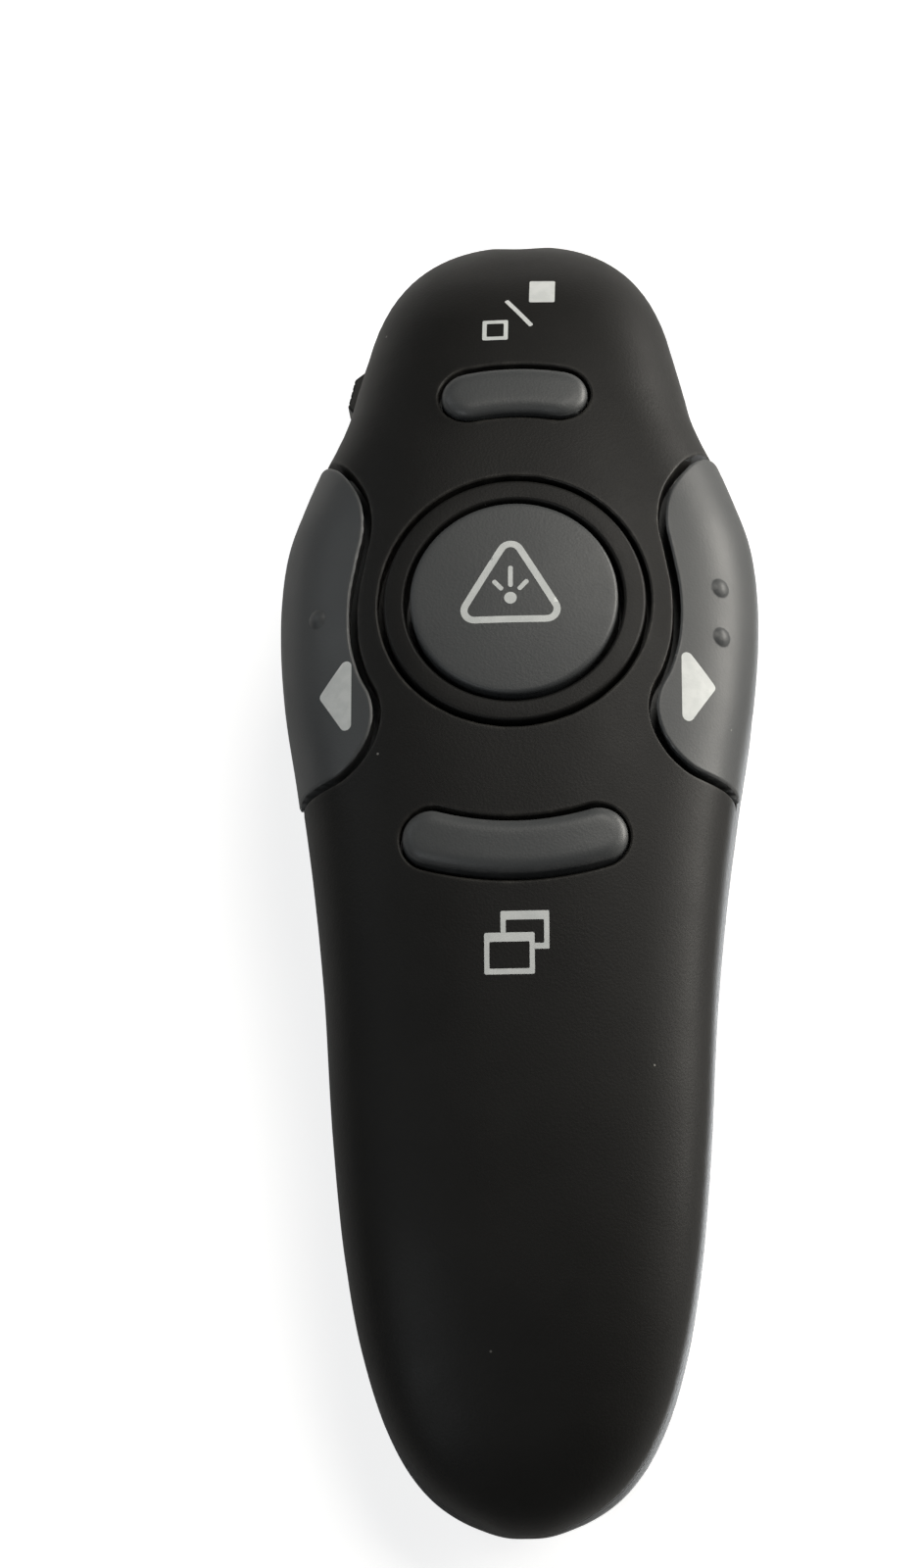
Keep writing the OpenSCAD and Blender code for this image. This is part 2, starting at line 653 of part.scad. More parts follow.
// Top of an arched key's lip: just under the shell where its far corner lies lowest.
function arch_lip_top(radius, half, side) =
    let (end_x = half + arch_w / 2 + key_gap + lip_reach,
         end_y = button_y + side * radius * cos(asin(half / radius)),
         toe_y = side > 0 ? end_y + arch_w / 2 + key_gap : end_y)
    crown_z(end_x, toe_y, -wall) - lip_gap;

function arch_stem_top(radius, half, side) = arch_lip_top(radius, half, side) - lip_t - post_drop;

// Key on the crown: it fills its arched plan and widens into a lip under the shell.
module arch_key(radius, half, side) {
    lip_top = arch_lip_top(radius, half, side);
    y_mid = button_y + side * radius;
    reach = half + arch_w;
    color(key_grey) union() {
        intersection() {
            skin_patch(y_mid - reach, y_mid + reach, 30, 150, arch_rise, lip_top - body_height, 16, 20);
            translate([0, 0, lip_top - lip_t / 2]) linear_extrude(far) arch_plan(radius, half, 0, side);
        }
        translate([0, 0, lip_top - lip_t]) linear_extrude(lip_t)
            arch_plan(radius, half, key_gap + lip_reach, side);
        upright([0, y_mid], arch_stem_top(radius, half, side), lip_top - lip_t / 2, post_r);
    }
}
module screen_key() {
    arch_key(screen_arch_r, screen_half, 1);
}
module window_key() {
    arch_key(window_arch_r, window_half, -1);
}

side_stem_top = crown_z(side_switch_x + post_r, side_switch_y, -wall - lip_gap - lip_t) - run_gap;

// Raised dots on each side key, as [depth in from the widest flank, y past the button's centre].
BACK_DOTS = [[3.8, -0.4]];
FORWARD_DOTS = [[3.25, 1.9], [3.2, -2.8]];
module key_dots(side, places) {
    dot_r = (dot_d^2 / 4 + dot_rise^2) / (2 * dot_rise);
    reach = dot_d / 2;
    for (p = places)
        let (x = half_width - p[0], y = button_y + p[1],
             lean = (crown_z(x + reach, y) - crown_z(x - reach, y)) / dot_d,
             up = [-side * lean, 0, 1] / norm([lean, 0, 1]))
        translate([side * x, y, crown_z(x, y, key_rise)] - up * (dot_r - dot_rise)) sphere(dot_r, $fn = 32);
}

// Side key: a patch of skin that wraps the flank down to just above the joint.
module side_key(side, dots) {
    y0 = button_y + KEY_EDGE[len(KEY_EDGE) - 1][1] - 1.6;
    y1 = button_y + KEY_EDGE[0][1] + 1.8;
    lip_short = 5;
    foot = asin(((key_travel + run_gap) / crown_full)^(crown_power / 2));
    color(key_grey) union() {
        intersection() {
            mirror([side > 0 ? 0 : 1, 0, 0])
                skin_patch(y0, y1, foot, 72, key_rise, -wall - lip_gap - lip_t, 18, 11);
            translate([0, 0, joint_z(y1)]) linear_extrude(far) key_plan(side, 0);
        }
        intersection() {
            mirror([side > 0 ? 0 : 1, 0, 0])
                skin_patch(y0, y1 - lip_short, foot, 76, -wall - lip_gap, -wall - lip_gap - lip_t, 18, 11);
            translate([0, 0, joint_z(y1)]) linear_extrude(far) key_plan(side, key_gap + lip_reach);
        }
        upright([side * side_switch_x, side_switch_y], side_stem_top,
            crown_z(side_switch_x, side_switch_y, -wall - lip_gap - lip_t / 2), post_r);
        key_dots(side, dots);
    }
}
module back_key() {
    side_key(-1, BACK_DOTS);
}
module forward_key() {
    side_key(1, FORWARD_DOTS);
}

module laser_stem() {
    color(white_plastic) tact_stem([0, button_y], big_stem_top, big_stem_r);
}
module screen_stem() {
    color(white_plastic)
        tact_stem([0, screen_y], arch_stem_top(screen_arch_r, screen_half, 1), small_stem_r);
}
module window_stem() {
    color(white_plastic)
        tact_stem([0, window_y], arch_stem_top(window_arch_r, window_half, -1), small_stem_r);
}
module back_stem() {
    color(white_plastic) tact_stem([-side_switch_x, side_switch_y], side_stem_top, small_stem_r);
}
module forward_stem() {
    color(white_plastic) tact_stem([side_switch_x, side_switch_y], side_stem_top, small_stem_r);
}

module laser_switch() {
    color(chip_black) tact_switch([0, button_y], big_switch_w, big_switch_h, big_stem_r);
}
module screen_switch() {
    color(chip_black) tact_switch([0, screen_y], small_switch_w, small_switch_h, small_stem_r);
}
module window_switch() {
    color(chip_black) tact_switch([0, window_y], small_switch_w, small_switch_h, small_stem_r);
}
module back_switch() {
    color(chip_black)
        tact_switch([-side_switch_x, side_switch_y], small_switch_w, small_switch_h, small_stem_r);
}
module forward_switch() {
    color(chip_black)
        tact_switch([side_switch_x, side_switch_y], small_switch_w, small_switch_h, small_stem_r);
}

// ---- Circuit board and what it carries ----

// The board's edge follows the flanks at an inset, with its corners cut off.
board_inset = 3.5;
board_tail = window_y - small_switch_w / 2 - pad_reach;
board_nose = half_length - 11;
board_corner = 2;
module circuit_board() {
    n = 14;
    y0 = board_tail + board_corner;
    y1 = board_nose - board_corner;
    right = concat([[half_w(y0) - board_inset - board_corner, board_tail]],
        [for (i = [0:n]) let (y = y0 + (y1 - y0) * i / n) [half_w(y) - board_inset, y]],
        [[half_w(y1) - board_inset - board_corner, board_nose]]);
    left = [for (i = [len(right) - 1:-1:0]) [-right[i][0], right[i][1]]];
    color(board_green) difference() {
        translate([0, 0, board_z]) linear_extrude(board_t) polygon(concat(right, left));
        for (sx = [-1, 1]) {
            upright([sx * front_screw[0], front_screw[1]], 0, far, screw_r + hole_gap);
            upright([sx * board_screw[0], board_screw[1]], 0, far, screw_r + hole_gap);
            block([sx * cell_x - tab_w / 2 - 0.1, bay_front - plate_t - run_gap, 0],
                [sx * cell_x + tab_w / 2 + 0.1, bay_front + run_gap, far]);
            upright([sx * lead_x, lead_y], 0, far, 2 * lead_r);
        }
    }
}

// Places of the small components, as [x, y past the button's centre].
chip_at = [5.9, 10.7];
chip_w = 5;
chip_h = 0.9;
pin_pitch = 0.75;
pin_w = 0.3;
radio_at = [-7.4, 10.8];
radio_w = 4;
radio_h = 0.8;
crystal_at = [-1, 12];
crystal_r = 0.9;
crystal_len = 2;
crystal_h = 1.2;
capacitor_at = [[-7, -15.2], [-5, -15.2], [-7, -13.2], [6, -14.2], [8, -14.2],
    [6.6, 6.6], [8.2, 6.6], [-9, 6.6]];
capacitor = [1, 0.6, 0.6];

module controller_chip() {
    color(chip_black) translate([chip_at[0], button_y + chip_at[1], key_lift]) {
        block([-chip_w / 2, -chip_w / 2, 0], [chip_w / 2, chip_w / 2, chip_h]);
        for (i = [-2.5:2.5])
            block([-chip_w / 2 - pin_pitch, i * pin_pitch - pin_w / 2, 0],
                [chip_w / 2 + pin_pitch, i * pin_pitch + pin_w / 2, chip_h / 2]);
    }
}
module radio_chip() {
    color(chip_black) translate([radio_at[0], button_y + radio_at[1], key_lift])
        block([-radio_w / 2, -radio_w / 2, 0], [radio_w / 2, radio_w / 2, radio_h]);
}
module clock_crystal() {
    color(steel) translate([crystal_at[0], button_y + crystal_at[1], key_lift])
        linear_extrude(crystal_h) hull()
            for (x = [0, crystal_len]) translate([x, 0]) circle(crystal_r, $fn = 32);
}
module capacitors() {
    color(brass) for (p = capacitor_at) translate([p[0], button_y + p[1], key_lift])
        block([-capacitor[0] / 2, -capacitor[1] / 2, 0],
            [capacitor[0] / 2, capacitor[1] / 2, capacitor[2]]);
}
// Folded trace at the nose end of the board.
trace_pitch = 1.6;
trace_w = 0.5;
trace_len = 3.2;
trace_t = 0.1;
trace_folds = 5;
module antenna() {
    color(gold) translate([-trace_folds * trace_pitch / 2, board_nose - trace_len - 0.9, key_lift]) {
        for (i = [0:trace_folds])
            block([i * trace_pitch, 0, 0], [i * trace_pitch + trace_w, trace_len, trace_t]);
        for (i = [0:trace_folds - 1]) let (y = (i % 2) * (trace_len - trace_w))
            block([i * trace_pitch, y, 0], [(i + 1) * trace_pitch + trace_w, y + trace_w, trace_t]);
    }
}

module slide_switch() {
    color(steel) difference() {
        block([slide_x, knob_y + knob_travel / 2 - slide_len / 2, board_z - slide_h],
            [slide_x + slide_w, knob_y + knob_travel / 2 + slide_len / 2, board_z]);
        block([slide_x - 1, knob_y - lever_w / 2 - run_gap, knob_z - lever_w / 2 - run_gap],
            [slide_x + lever_depth, knob_y + knob_travel + lever_w / 2 + run_gap,
                knob_z + lever_w / 2 + run_gap]);
    }
}
module switch_lever() {
    color(white_plastic) block([knob_back, knob_y - lever_w / 2, knob_z - lever_w / 2],
        [slide_x + lever_depth - run_gap, knob_y + lever_w / 2, knob_z + lever_w / 2]);
}

// Ridge along the flank with sloped ends, on a flange that closes the slot inside.
module power_knob() {
    x_in = knob_back - knob_flange_t;
    tail = knob_y - knob_len / 2;
    nose = knob_y + knob_len / 2;
    color(soft_black) union() {
        block([x_in, tail - knob_travel - knob_flange_lap, knob_z - knob_h / 2 - knob_flange_lap],
            [knob_back, nose + knob_flange_lap, knob_z + knob_h / 2 + knob_flange_lap]);
        translate([0, 0, knob_z - knob_h / 2]) linear_extrude(knob_h)
            polygon([[x_in, tail], [x_in, nose], [-half_w(nose), nose],
                [-half_w(nose - knob_taper) - knob_reach, nose - knob_taper],
                [-half_w(tail + knob_taper) - knob_reach, tail + knob_taper], [-half_w(tail), tail]]);
    }
}

// ---- Laser ----

module laser_barrel() {
    color(brass) difference() {
        rod_y(0, barrel_back, laser_z, barrel_r, barrel_front - barrel_back);
        rod_y(0, barrel_back - 1, laser_z, diode_r + 0.05, diode_in + diode_rim + 1);
        rod_y(0, barrel_back, laser_z, bore_r, barrel_front - barrel_back);
        rod_y(0, barrel_front - lens_in, laser_z, lens_r + 0.05, lens_in + 1);
    }
}
module laser_diode() {
    color(steel) {
        rod_y(0, barrel_back + diode_in, laser_z, diode_r, diode_rim);
        rod_y(0, barrel_back + diode_in + diode_rim, laser_z, bore_r - 0.1, 2 * diode_rim);
    }
}
module laser_leads() {
    color(steel) for (sx = [-1, 1]) {
        rod_y(sx * lead_x, lead_y - lead_r, laser_z, lead_r, barrel_back + diode_in - lead_y + lead_r);
        upright([sx * lead_x, lead_y], laser_z - lead_r, key_lift + 2 * lead_r, lead_r);
    }
}
module laser_lens() {
    color(glass_red) rod_y(0, barrel_front - lens_in, laser_z, lens_r, lens_t);
}
module aperture_ring() {
    color(chip_black) difference() {
        rod_y(0, barrel_front + 0.1, laser_z, barrel_r + 0.05, nose_y - barrel_front - 0.1);
        rod_y(0, barrel_front, laser_z, aperture_r, nose_y - barrel_front + 1);
        rod_y(0, nose_y - window_in, laser_z, lens_r + 0.05, window_in + 1);
    }
}
module laser_window() {
    color(glass_red) rod_y(0, nose_y - window_in, laser_z, lens_r, window_t);
}

// ---- Cells and contacts ----

module cell(x, to_nose) {
    body_len = cell_len - nub_len;
    end = plate_t + bump_len + cell_slack;
    translate([x, to_nose ? bay_front - end - cell_len : bay_back + end + cell_len, cell_z])
        rotate([to_nose ? -90 : 90, 0, 0]) rotate_extrude($fn = 64)
            polygon([[0, 0], [cell_r - rim, 0], [cell_r, rim], [cell_r, body_len - rim],
                [cell_r - rim, body_len], [nub_r, body_len], [nub_r, cell_len], [0, cell_len]]);
}
module cell_left() {
    color(cell_green) cell(-cell_x, true);
}
module cell_right() {
    color(cell_green) cell(cell_x, false);
}

// Coil of thin wire along +Y, narrowing from its plate to the cell.
module coil(x, y0, dir, l) {
    sides = 6;
    per_turn = 14;
    turns = 3.5;
    wire = spring_wire_r;
    rings = per_turn * turns;
    function mid(i) = let (s = i / rings, a = 360 * turns * s, r = spring_r - spring_taper * s)
        [r * cos(a), dir * (wire + (l - 2 * wire) * s), r * sin(a)];
    function ring_at(i) = let (a = 360 * turns * i / rings, out = [cos(a), 0, sin(a)])
        [for (k = [0:sides - 1])
            mid(i) + wire * (cos(360 * k / sides) * out + [0, sin(360 * k / sides), 0])];
    points = [for (i = [0:rings]) each ring_at(i)];
    walls = [for (i = [0:rings - 1], k = [0:sides - 1])
        let (a = i * sides + k, b = i * sides + (k + 1) % sides, c = a + sides, d = b + sides)
        each [[a, d, b], [a, c, d]]];
    last = rings * sides;
    caps = [for (k = [1:sides - 2]) each [[0, k, k + 1], [last, last + k + 1, last + k]]];
    translate([x, y0, cell_z]) polyhedron(points, concat(walls, caps), convexity = 6);
}
module cell_springs() {
    color(steel) {
        coil(-cell_x, bay_back + plate_t + eps, 1, spring_room);
        coil(cell_x, bay_front - plate_t - eps, -1, spring_room);
    }
}
module tail_link() {
    color(steel) {
        block([-cell_x - plate_w / 2, bay_back, cell_z - plate_low],
            [cell_x + plate_w / 2, bay_back + plate_t, cell_z + 1]);
        rod_y(cell_x, bay_back + plate_t - eps, cell_z, bump_r, bump_len);
    }
}
module terminal(x, with_bump) {
    block([x - plate_w / 2, bay_front - plate_t, cell_z - plate_low],
        [x + plate_w / 2, bay_front, cell_z + plate_high]);
    block([x - tab_w / 2, bay_front - plate_t, cell_z + plate_high - eps],
        [x + tab_w / 2, bay_front, key_lift + 0.5]);
    if (with_bump) rod_y(x, bay_front - plate_t - bump_len, cell_z, bump_r, bump_len + eps);
}
module positive_terminal() {
    color(steel) terminal(-cell_x, true);
}
module negative_terminal() {
    color(steel) terminal(cell_x, false);
}

module battery_cover() {
    grooves = 5;
    color(soft_black) difference() {
        union() {
            linear_extrude(cover_t) rounded_plan(cover_x, cover_back, cover_front, cover_corner);
            for (sx = [-1, 1]) {
                translate([sx * hinge_x - hinge_w / 2, hinge_y, hinge_z]) rotate([0, 90, 0])
                    cylinder(h = hinge_w, r = hinge_r, $fn = 48);
                block([sx * hinge_x - hinge_w / 2, cover_front - 1, hinge_z - 0.35],
                    [sx * hinge_x + hinge_w / 2, hinge_y, hinge_z + 0.35]);
            }
            block([-3, cover_back - 0.1, 0.5], [3, cover_back + 1, 1.1]);
        }
        for (i = [0:grooves - 1])
            let (x = groove_reach - 0.6 * i, y = cover_back + groove_start + 2 * groove_w * i)
                block([-x, y, -1], [x, y + groove_w, groove_depth]);
    }
}

// ---- Fasteners ----

module front_case_screws() {
    color(steel) for (sx = [-1, 1])
        screw_up([sx * front_screw[0], front_screw[1]], front_seat_z, front_tip_z, screw_r, head_r, head_h);
}
module rear_case_screws() {
    color(steel) for (sx = [-1, 1])
        screw_up([sx * rear_screw[0], rear_screw[1]], rear_seat_z, rear_tip_z, screw_r, head_r, head_h);
}
module board_screws() {
    color(steel) for (sx = [-1, 1])
        screw_up([sx * board_screw[0], board_screw[1]], board_z, board_tip_z, screw_r,
            board_head_r, board_head_h);
}

// ---- Receiver ----

shell_t = 0.3;
plug_y = grip_y + grip_len;
// Depth of the sleeve inside the grip, and its fit there.
plug_root = 4;
plug_fit = 0.02;
// Grooves across the grip.
grip_groove_x = 4.5;
grip_groove_w = 0.6;
grip_groove_pitch = 1.4;
grip_groove_depth = 0.3;
// Windows in the sleeve, measured from its mouth.
window_x = 2.9;
window_w = 2.2;
window_len = 2.4;
window_back = 3.6;
// Tongue, its contacts and the small board behind it, measured from the sleeve's inner roof.
tongue_t = 1.83;
tongue_back = 0.4;
tongue_mouth = 0.3;
contact_x = [-3.5, -1, 1, 3.5];
contact_w = 1;
contact_t = 0.1;
contact_start = 3;
receiver_board_t = 0.8;
receiver_board_z = 1;
module usb_housing() {
    color(chip_black) difference() {
        block([-grip_w / 2, grip_y, grip_z], [grip_w / 2, plug_y, grip_z + grip_h]);
        block([-plug_w / 2 - plug_fit, plug_y - plug_root, plug_z - plug_fit],
            [plug_w / 2 + plug_fit, plug_y + 1, plug_z + plug_h + plug_fit]);
        for (i = [0:2])
            let (y = grip_y + 2 * grip_groove_w + grip_groove_pitch * i)
                block([-grip_groove_x, y, -1],
                    [grip_groove_x, y + grip_groove_w, grip_z + grip_groove_depth]);
    }
}
module usb_shell() {
    mouth = plug_y + plug_len;
    color(steel) difference() {
        block([-plug_w / 2, plug_y - plug_root, plug_z], [plug_w / 2, mouth, plug_z + plug_h]);
        block([-plug_w / 2 + shell_t, plug_y - plug_root - 1, plug_z + shell_t],
            [plug_w / 2 - shell_t, mouth + 1, plug_z + plug_h - shell_t]);
        for (sx = [-1, 1], z = [-1, plug_z + plug_h - 1])
            block([sx * window_x - window_w / 2, mouth - window_back - window_len, z],
                [sx * window_x + window_w / 2, mouth - window_back, z + 3]);
    }
}
module usb_tongue() {
    roof = plug_z + plug_h - shell_t - plug_fit;
    color(white_plastic) block([-plug_w / 2 + shell_t, plug_y + tongue_back, roof - tongue_t],
        [plug_w / 2 - shell_t, plug_y + plug_len - tongue_mouth, roof]);
}
module usb_contacts() {
    top = plug_z + plug_h - shell_t - plug_fit - tongue_t;
    color(gold) for (x = contact_x)
        block([x - contact_w / 2, plug_y + contact_start, top - contact_t],
            [x + contact_w / 2, plug_y + plug_len - 1, top]);
}
module usb_board() {
    x = plug_w / 2 - shell_t - 0.1;
    z = plug_z + receiver_board_z;
    color(board_green)
        block([-x, plug_y - plug_root + 0.2, z], [x, plug_y + tongue_back - 0.1, z + receiver_board_t]);
}

upper_shell();
lower_shell();
aperture_ring();
laser_window();
bezel_ring();
laser_button();
screen_key();
window_key();
back_key();
forward_key();
laser_stem();
screen_stem();
window_stem();
back_stem();
forward_stem();
laser_switch();
screen_switch();
window_switch();
back_switch();
forward_switch();
circuit_board();
controller_chip();
radio_chip();
clock_crystal();
capacitors();
antenna();
slide_switch();
switch_lever();
power_knob();
laser_barrel();
laser_lens();
laser_diode();
laser_leads();
cell_left();
cell_right();
cell_springs();
tail_link();
positive_terminal();
negative_terminal();
battery_cover();
front_case_screws();
rear_case_screws();
board_screws();
usb_housing();
usb_shell();
usb_tongue();
usb_contacts();
usb_board();
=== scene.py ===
# %% [markdown]
# # A wireless presentation clicker, dressed around its frame
# The frame holds every piece of the clicker at its real size. This script gives those pieces
# their finish. The two soft-touch shells, the ring, the keys, the battery cover and the receiver
# get dense meshes with rounded edges, drawn from the same curves as the frame. The printed marks
# are thin pieces of their own, and the small parts inside keep their solids and get materials.

# %% Load the frame
import math

import bmesh
import bpy
import numpy as np
from mathutils import Matrix, Vector, kdtree
from mathutils.geometry import delaunay_2d_cdt


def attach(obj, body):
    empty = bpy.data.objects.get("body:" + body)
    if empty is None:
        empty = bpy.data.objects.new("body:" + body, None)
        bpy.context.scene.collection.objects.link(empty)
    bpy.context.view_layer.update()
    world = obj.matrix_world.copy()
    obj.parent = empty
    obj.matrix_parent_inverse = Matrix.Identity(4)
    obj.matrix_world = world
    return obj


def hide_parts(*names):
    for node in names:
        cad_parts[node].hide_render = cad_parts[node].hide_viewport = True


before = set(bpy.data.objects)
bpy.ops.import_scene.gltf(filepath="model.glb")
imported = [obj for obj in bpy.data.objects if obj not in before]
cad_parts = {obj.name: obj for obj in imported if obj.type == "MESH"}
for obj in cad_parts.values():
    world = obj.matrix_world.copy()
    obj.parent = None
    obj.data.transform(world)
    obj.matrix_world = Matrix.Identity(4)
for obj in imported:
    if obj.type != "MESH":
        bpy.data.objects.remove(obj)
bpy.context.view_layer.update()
scene = bpy.context.scene
MM = 0.001


def in_scene(name, data):
    """A new object in the scene, made of the given mesh, lamp or camera."""
    thing = bpy.data.objects.new(name, data)
    scene.collection.objects.link(thing)
    return thing


def mesh_from(name, points, faces=()):
    """Mesh from points in millimetres."""
    mesh = bpy.data.meshes.new(name)
    mesh.from_pydata((np.asarray(points, float) * MM).tolist(), [], faces)
    return mesh


def unit(vectors):
    """The same directions, each with a length of one."""
    return vectors / np.maximum(np.linalg.norm(vectors, axis=-1, keepdims=True), 1e-12)

# %% [markdown]
# ## Camera
# A long lens looks down on the keys from the tail end, a little from the right. A camera that is
# far away keeps the outline nearly free of perspective, which suits a product picture. It is
# placed on a sphere round the aim point, and rolled, so four plain numbers describe the view.

# %% Camera
AIM = Vector((-0.00549, 0.00599, 0.01300))
VIEW_DISTANCE = 0.45247
VIEW_ELEVATION = math.radians(67.988)
VIEW_AZIMUTH = math.radians(8.912)
VIEW_ROLL = math.radians(-9.457)
LENS = 115.7


def place_camera():
    """The camera on its sphere round the aim point, rolled about its own axis."""
    away = Vector((math.cos(VIEW_ELEVATION) * math.sin(VIEW_AZIMUTH),
                   -math.cos(VIEW_ELEVATION) * math.cos(VIEW_AZIMUTH),
                   math.sin(VIEW_ELEVATION)))
    data = bpy.data.cameras.new("camera")
    data.lens = LENS
    data.clip_start = 0.01
    camera = in_scene("camera", data)
    camera.location = AIM + away * VIEW_DISTANCE
    turn = (-away).to_track_quat("-Z", "Y") @ Matrix.Rotation(VIEW_ROLL, 3, "Z").to_quaternion()
    camera.rotation_mode = "QUATERNION"
    camera.rotation_quaternion = turn
    scene.camera = camera


place_camera()

# %% [markdown]
# ## The curves of the body
# Every cross-section of the body is half a superellipse above the joint and half of another
# below it. Three lists of stations say how wide and how high those are along the body. A cubic
# through the squares of the stations, with its root taken, rounds both ends off.

# %% Stations and driving sizes, in millimetres
HALF_LENGTH = 61.5
KEY_RISE = 0.3
HALF_WIDTH = 21.5 - KEY_RISE
BODY_HEIGHT = 27.0
BUTTON_RISE = 0.7
JOINT_HIGH, JOINT_TAIL, JOINT_NOSE, JOINT_PEAK_Y = 16.0, 7.4, 8.0, 8.0
CROWN_POWER, KEEL_POWER, KEEL_CUT = 2.7, 4.0, 2.5
WALL = 1.8
BUTTON_Y = 18.2
OUTLINE = [(-1, .05), (-.985, .189), (-.97, .276), (-.943, .383), (-.91, .467), (-.845, .571),
           (-.748, .661), (-.618, .729), (-.455, .776), (-.228, .818), (-.065, .868),
           (.065, .921), (.195, .979), (.29, 1), (.355, 1), (.44, .972), (.504, .914),
           (.561, .853), (.61, .792), (.65, .75), (.7, .717), (.764, .674), (.829, .626),
           (.878, .568), (.919, .494), (.951, .406), (.976, .304), (.992, .193), (1, .05)]
CROWN = [(-1, .055), (-.985, .2), (-.96, .31), (-.91, .455), (-.813, .6), (-.65, .727),
         (-.49, .8), (-.26, .882), (0, .945), (.195, .973), (.325, 1), (.455, 1.045),
         (.585, 1.073), (.715, 1.064), (.8, 1.018), (.86, .918), (.905, .782), (.94, .636),
         (.968, .473), (.987, .318), (.996, .19), (1, .073)]
KEEL = [(-1, .03), (-.985, .14), (-.95, .28), (-.88, .455), (-.8, .59), (-.72, .7),
        (-.62, .79), (-.45, .9), (-.2, .985), (.13, 1), (.35, .985), (.5, .92), (.62, .805),
        (.74, .66), (.85, .48), (.93, .335), (.975, .215), (.993, .125), (1, .04)]


def curve(stations, x):
    """Root of a cubic through the squared stations, read at x."""
    at, value = np.array(stations, float).T
    value = value ** 2
    gap = np.diff(at)
    rise = np.diff(value) / gap
    inner = (rise[:-1] * gap[1:] + rise[1:] * gap[:-1]) / (gap[:-1] + gap[1:])
    slope = np.concatenate([rise[:1], inner, rise[-1:]])
    i = np.clip(np.searchsorted(at, x) - 1, 0, len(gap) - 1)
    t = np.clip((x - at[i]) / gap[i], 0, 1)
    smooth = ((2 * t ** 3 - 3 * t ** 2 + 1) * value[i] + (t ** 3 - 2 * t ** 2 + t) * gap[i] * slope[i]
              + (3 * t ** 2 - 2 * t ** 3) * value[i + 1] + (t ** 3 - t ** 2) * gap[i] * slope[i + 1])
    return np.sqrt(np.maximum(smooth, 0))


def joint_z(y):
    """Height of the joint between the two shells."""
    ahead = y >= JOINT_PEAK_Y
    end = np.where(ahead, HALF_LENGTH, -HALF_LENGTH)
    drop = JOINT_HIGH - np.where(ahead, JOINT_NOSE, JOINT_TAIL)
    return JOINT_HIGH - drop * ((y - JOINT_PEAK_Y) / (end - JOINT_PEAK_Y)) ** 2


CROWN_FULL = float((BODY_HEIGHT - BUTTON_RISE - joint_z(BUTTON_Y)) / curve(CROWN, BUTTON_Y / HALF_LENGTH))
KEEL_FULL = JOINT_HIGH + KEEL_CUT


def half_w(y):
    """Half the body's width at a place along it."""
    return HALF_WIDTH * curve(OUTLINE, y / HALF_LENGTH)


def crown_h(y):
    """Height of the crown over the joint."""
    return CROWN_FULL * curve(CROWN, y / HALF_LENGTH)


def keel_h(y):
    """Depth of the underside below the joint, before its flat is cut."""
    return KEEL_FULL * curve(KEEL, y / HALF_LENGTH)


def crown_z(x, y, out=0.0):
    """Height of the crown over a place in plan."""
    share = np.minimum(np.abs(x) / (half_w(y) + out), 1)
    return joint_z(y) + (crown_h(y) + out) * (1 - share ** CROWN_POWER) ** (1 / CROWN_POWER)


print("widest half section", round(float(half_w(np.array(20.0))), 2),
      "crown over the button", round(float(crown_z(0, np.array(BUTTON_Y))), 2))

# %% [markdown]
# ## A flat map of the crown
# The shell has openings with rounded edges, which a plain grid of faces can't follow. So the
# crown is rolled out flat: one direction of the map is the way round the section and the other
# the way along the body. Outlines are drawn on the map, filled with triangles there, and lifted
# back onto the body. The map keeps lengths nearly true, so the triangles stay even. Past its two
# ends the map folds down to the joint, which closes the blunt tip.

# %% Roll the crown out and back
ANGLES = np.linspace(0, math.pi, 20001)
LEAST_W, LEAST_H = 0.3, 0.2


def power_cos(angle, power):
    """Share of the half width at an angle round a superellipse."""
    return np.sign(np.cos(angle)) * np.abs(np.cos(angle)) ** (2 / power)


def power_sin(angle, power):
    """Share of the height at an angle round a superellipse."""
    return np.abs(np.sin(angle)) ** (2 / power)


def arc_along(height, power):
    """Distance round the widest section from the joint on the right, for every angle."""
    x = HALF_WIDTH * power_cos(ANGLES, power)
    z = height * power_sin(ANGLES, power)
    return np.concatenate([[0], np.cumsum(np.hypot(np.diff(x), np.diff(z)))])


def arc_table():
    """Distance round the widest section from its top, to the right, for every angle."""
    arc = arc_along(CROWN_FULL, CROWN_POWER)
    return arc[-1] / 2 - arc


ARC = arc_table()
MAP_END = HALF_LENGTH * math.pi / 2
END_CAP = 0.5


def on_map(x, y):
    """Place on the map of a point in plan."""
    share = np.clip(x / half_w(y), -1, 1)
    angle = np.arccos(np.sign(share) * np.abs(share) ** (CROWN_POWER / 2))
    s = np.interp(angle, ANGLES, ARC) * half_w(y) / HALF_WIDTH
    return np.stack([s, HALF_LENGTH * np.arcsin(np.clip(y / HALF_LENGTH, -1, 1))], -1)


def off_map(st):
    """Angle round the section and place along the body of a point on the map."""
    y = HALF_LENGTH * np.sin(np.clip(st[:, 1] / HALF_LENGTH, -math.pi / 2, math.pi / 2))
    arc = st[:, 0] * HALF_WIDTH / half_w(y)
    return np.interp(-arc, -ARC, ANGLES), y


def on_skin(st, out=0.0):
    """Point of the crown, moved outward by out, for a point on the map."""
    angle, y = off_map(st)
    past = np.clip((np.abs(st[:, 1]) - MAP_END) / END_CAP, 0, 1)
    w = np.maximum(half_w(y) + out, LEAST_W)
    h = np.maximum(crown_h(y) + out, LEAST_H) * (1 - past)
    z = joint_z(y) + h * power_sin(angle, CROWN_POWER)
    return np.stack([w * power_cos(angle, CROWN_POWER), y, z], -1)


def skin_normal(st, out=0.0, step=0.03):
    """Outward direction of the crown at a point on the map."""
    ds, dt = np.array([step, 0]), np.array([0, step])
    across = on_skin(st + ds, out) - on_skin(st - ds, out)
    along = on_skin(st + dt, out) - on_skin(st - dt, out)
    return unit(np.cross(across, along))


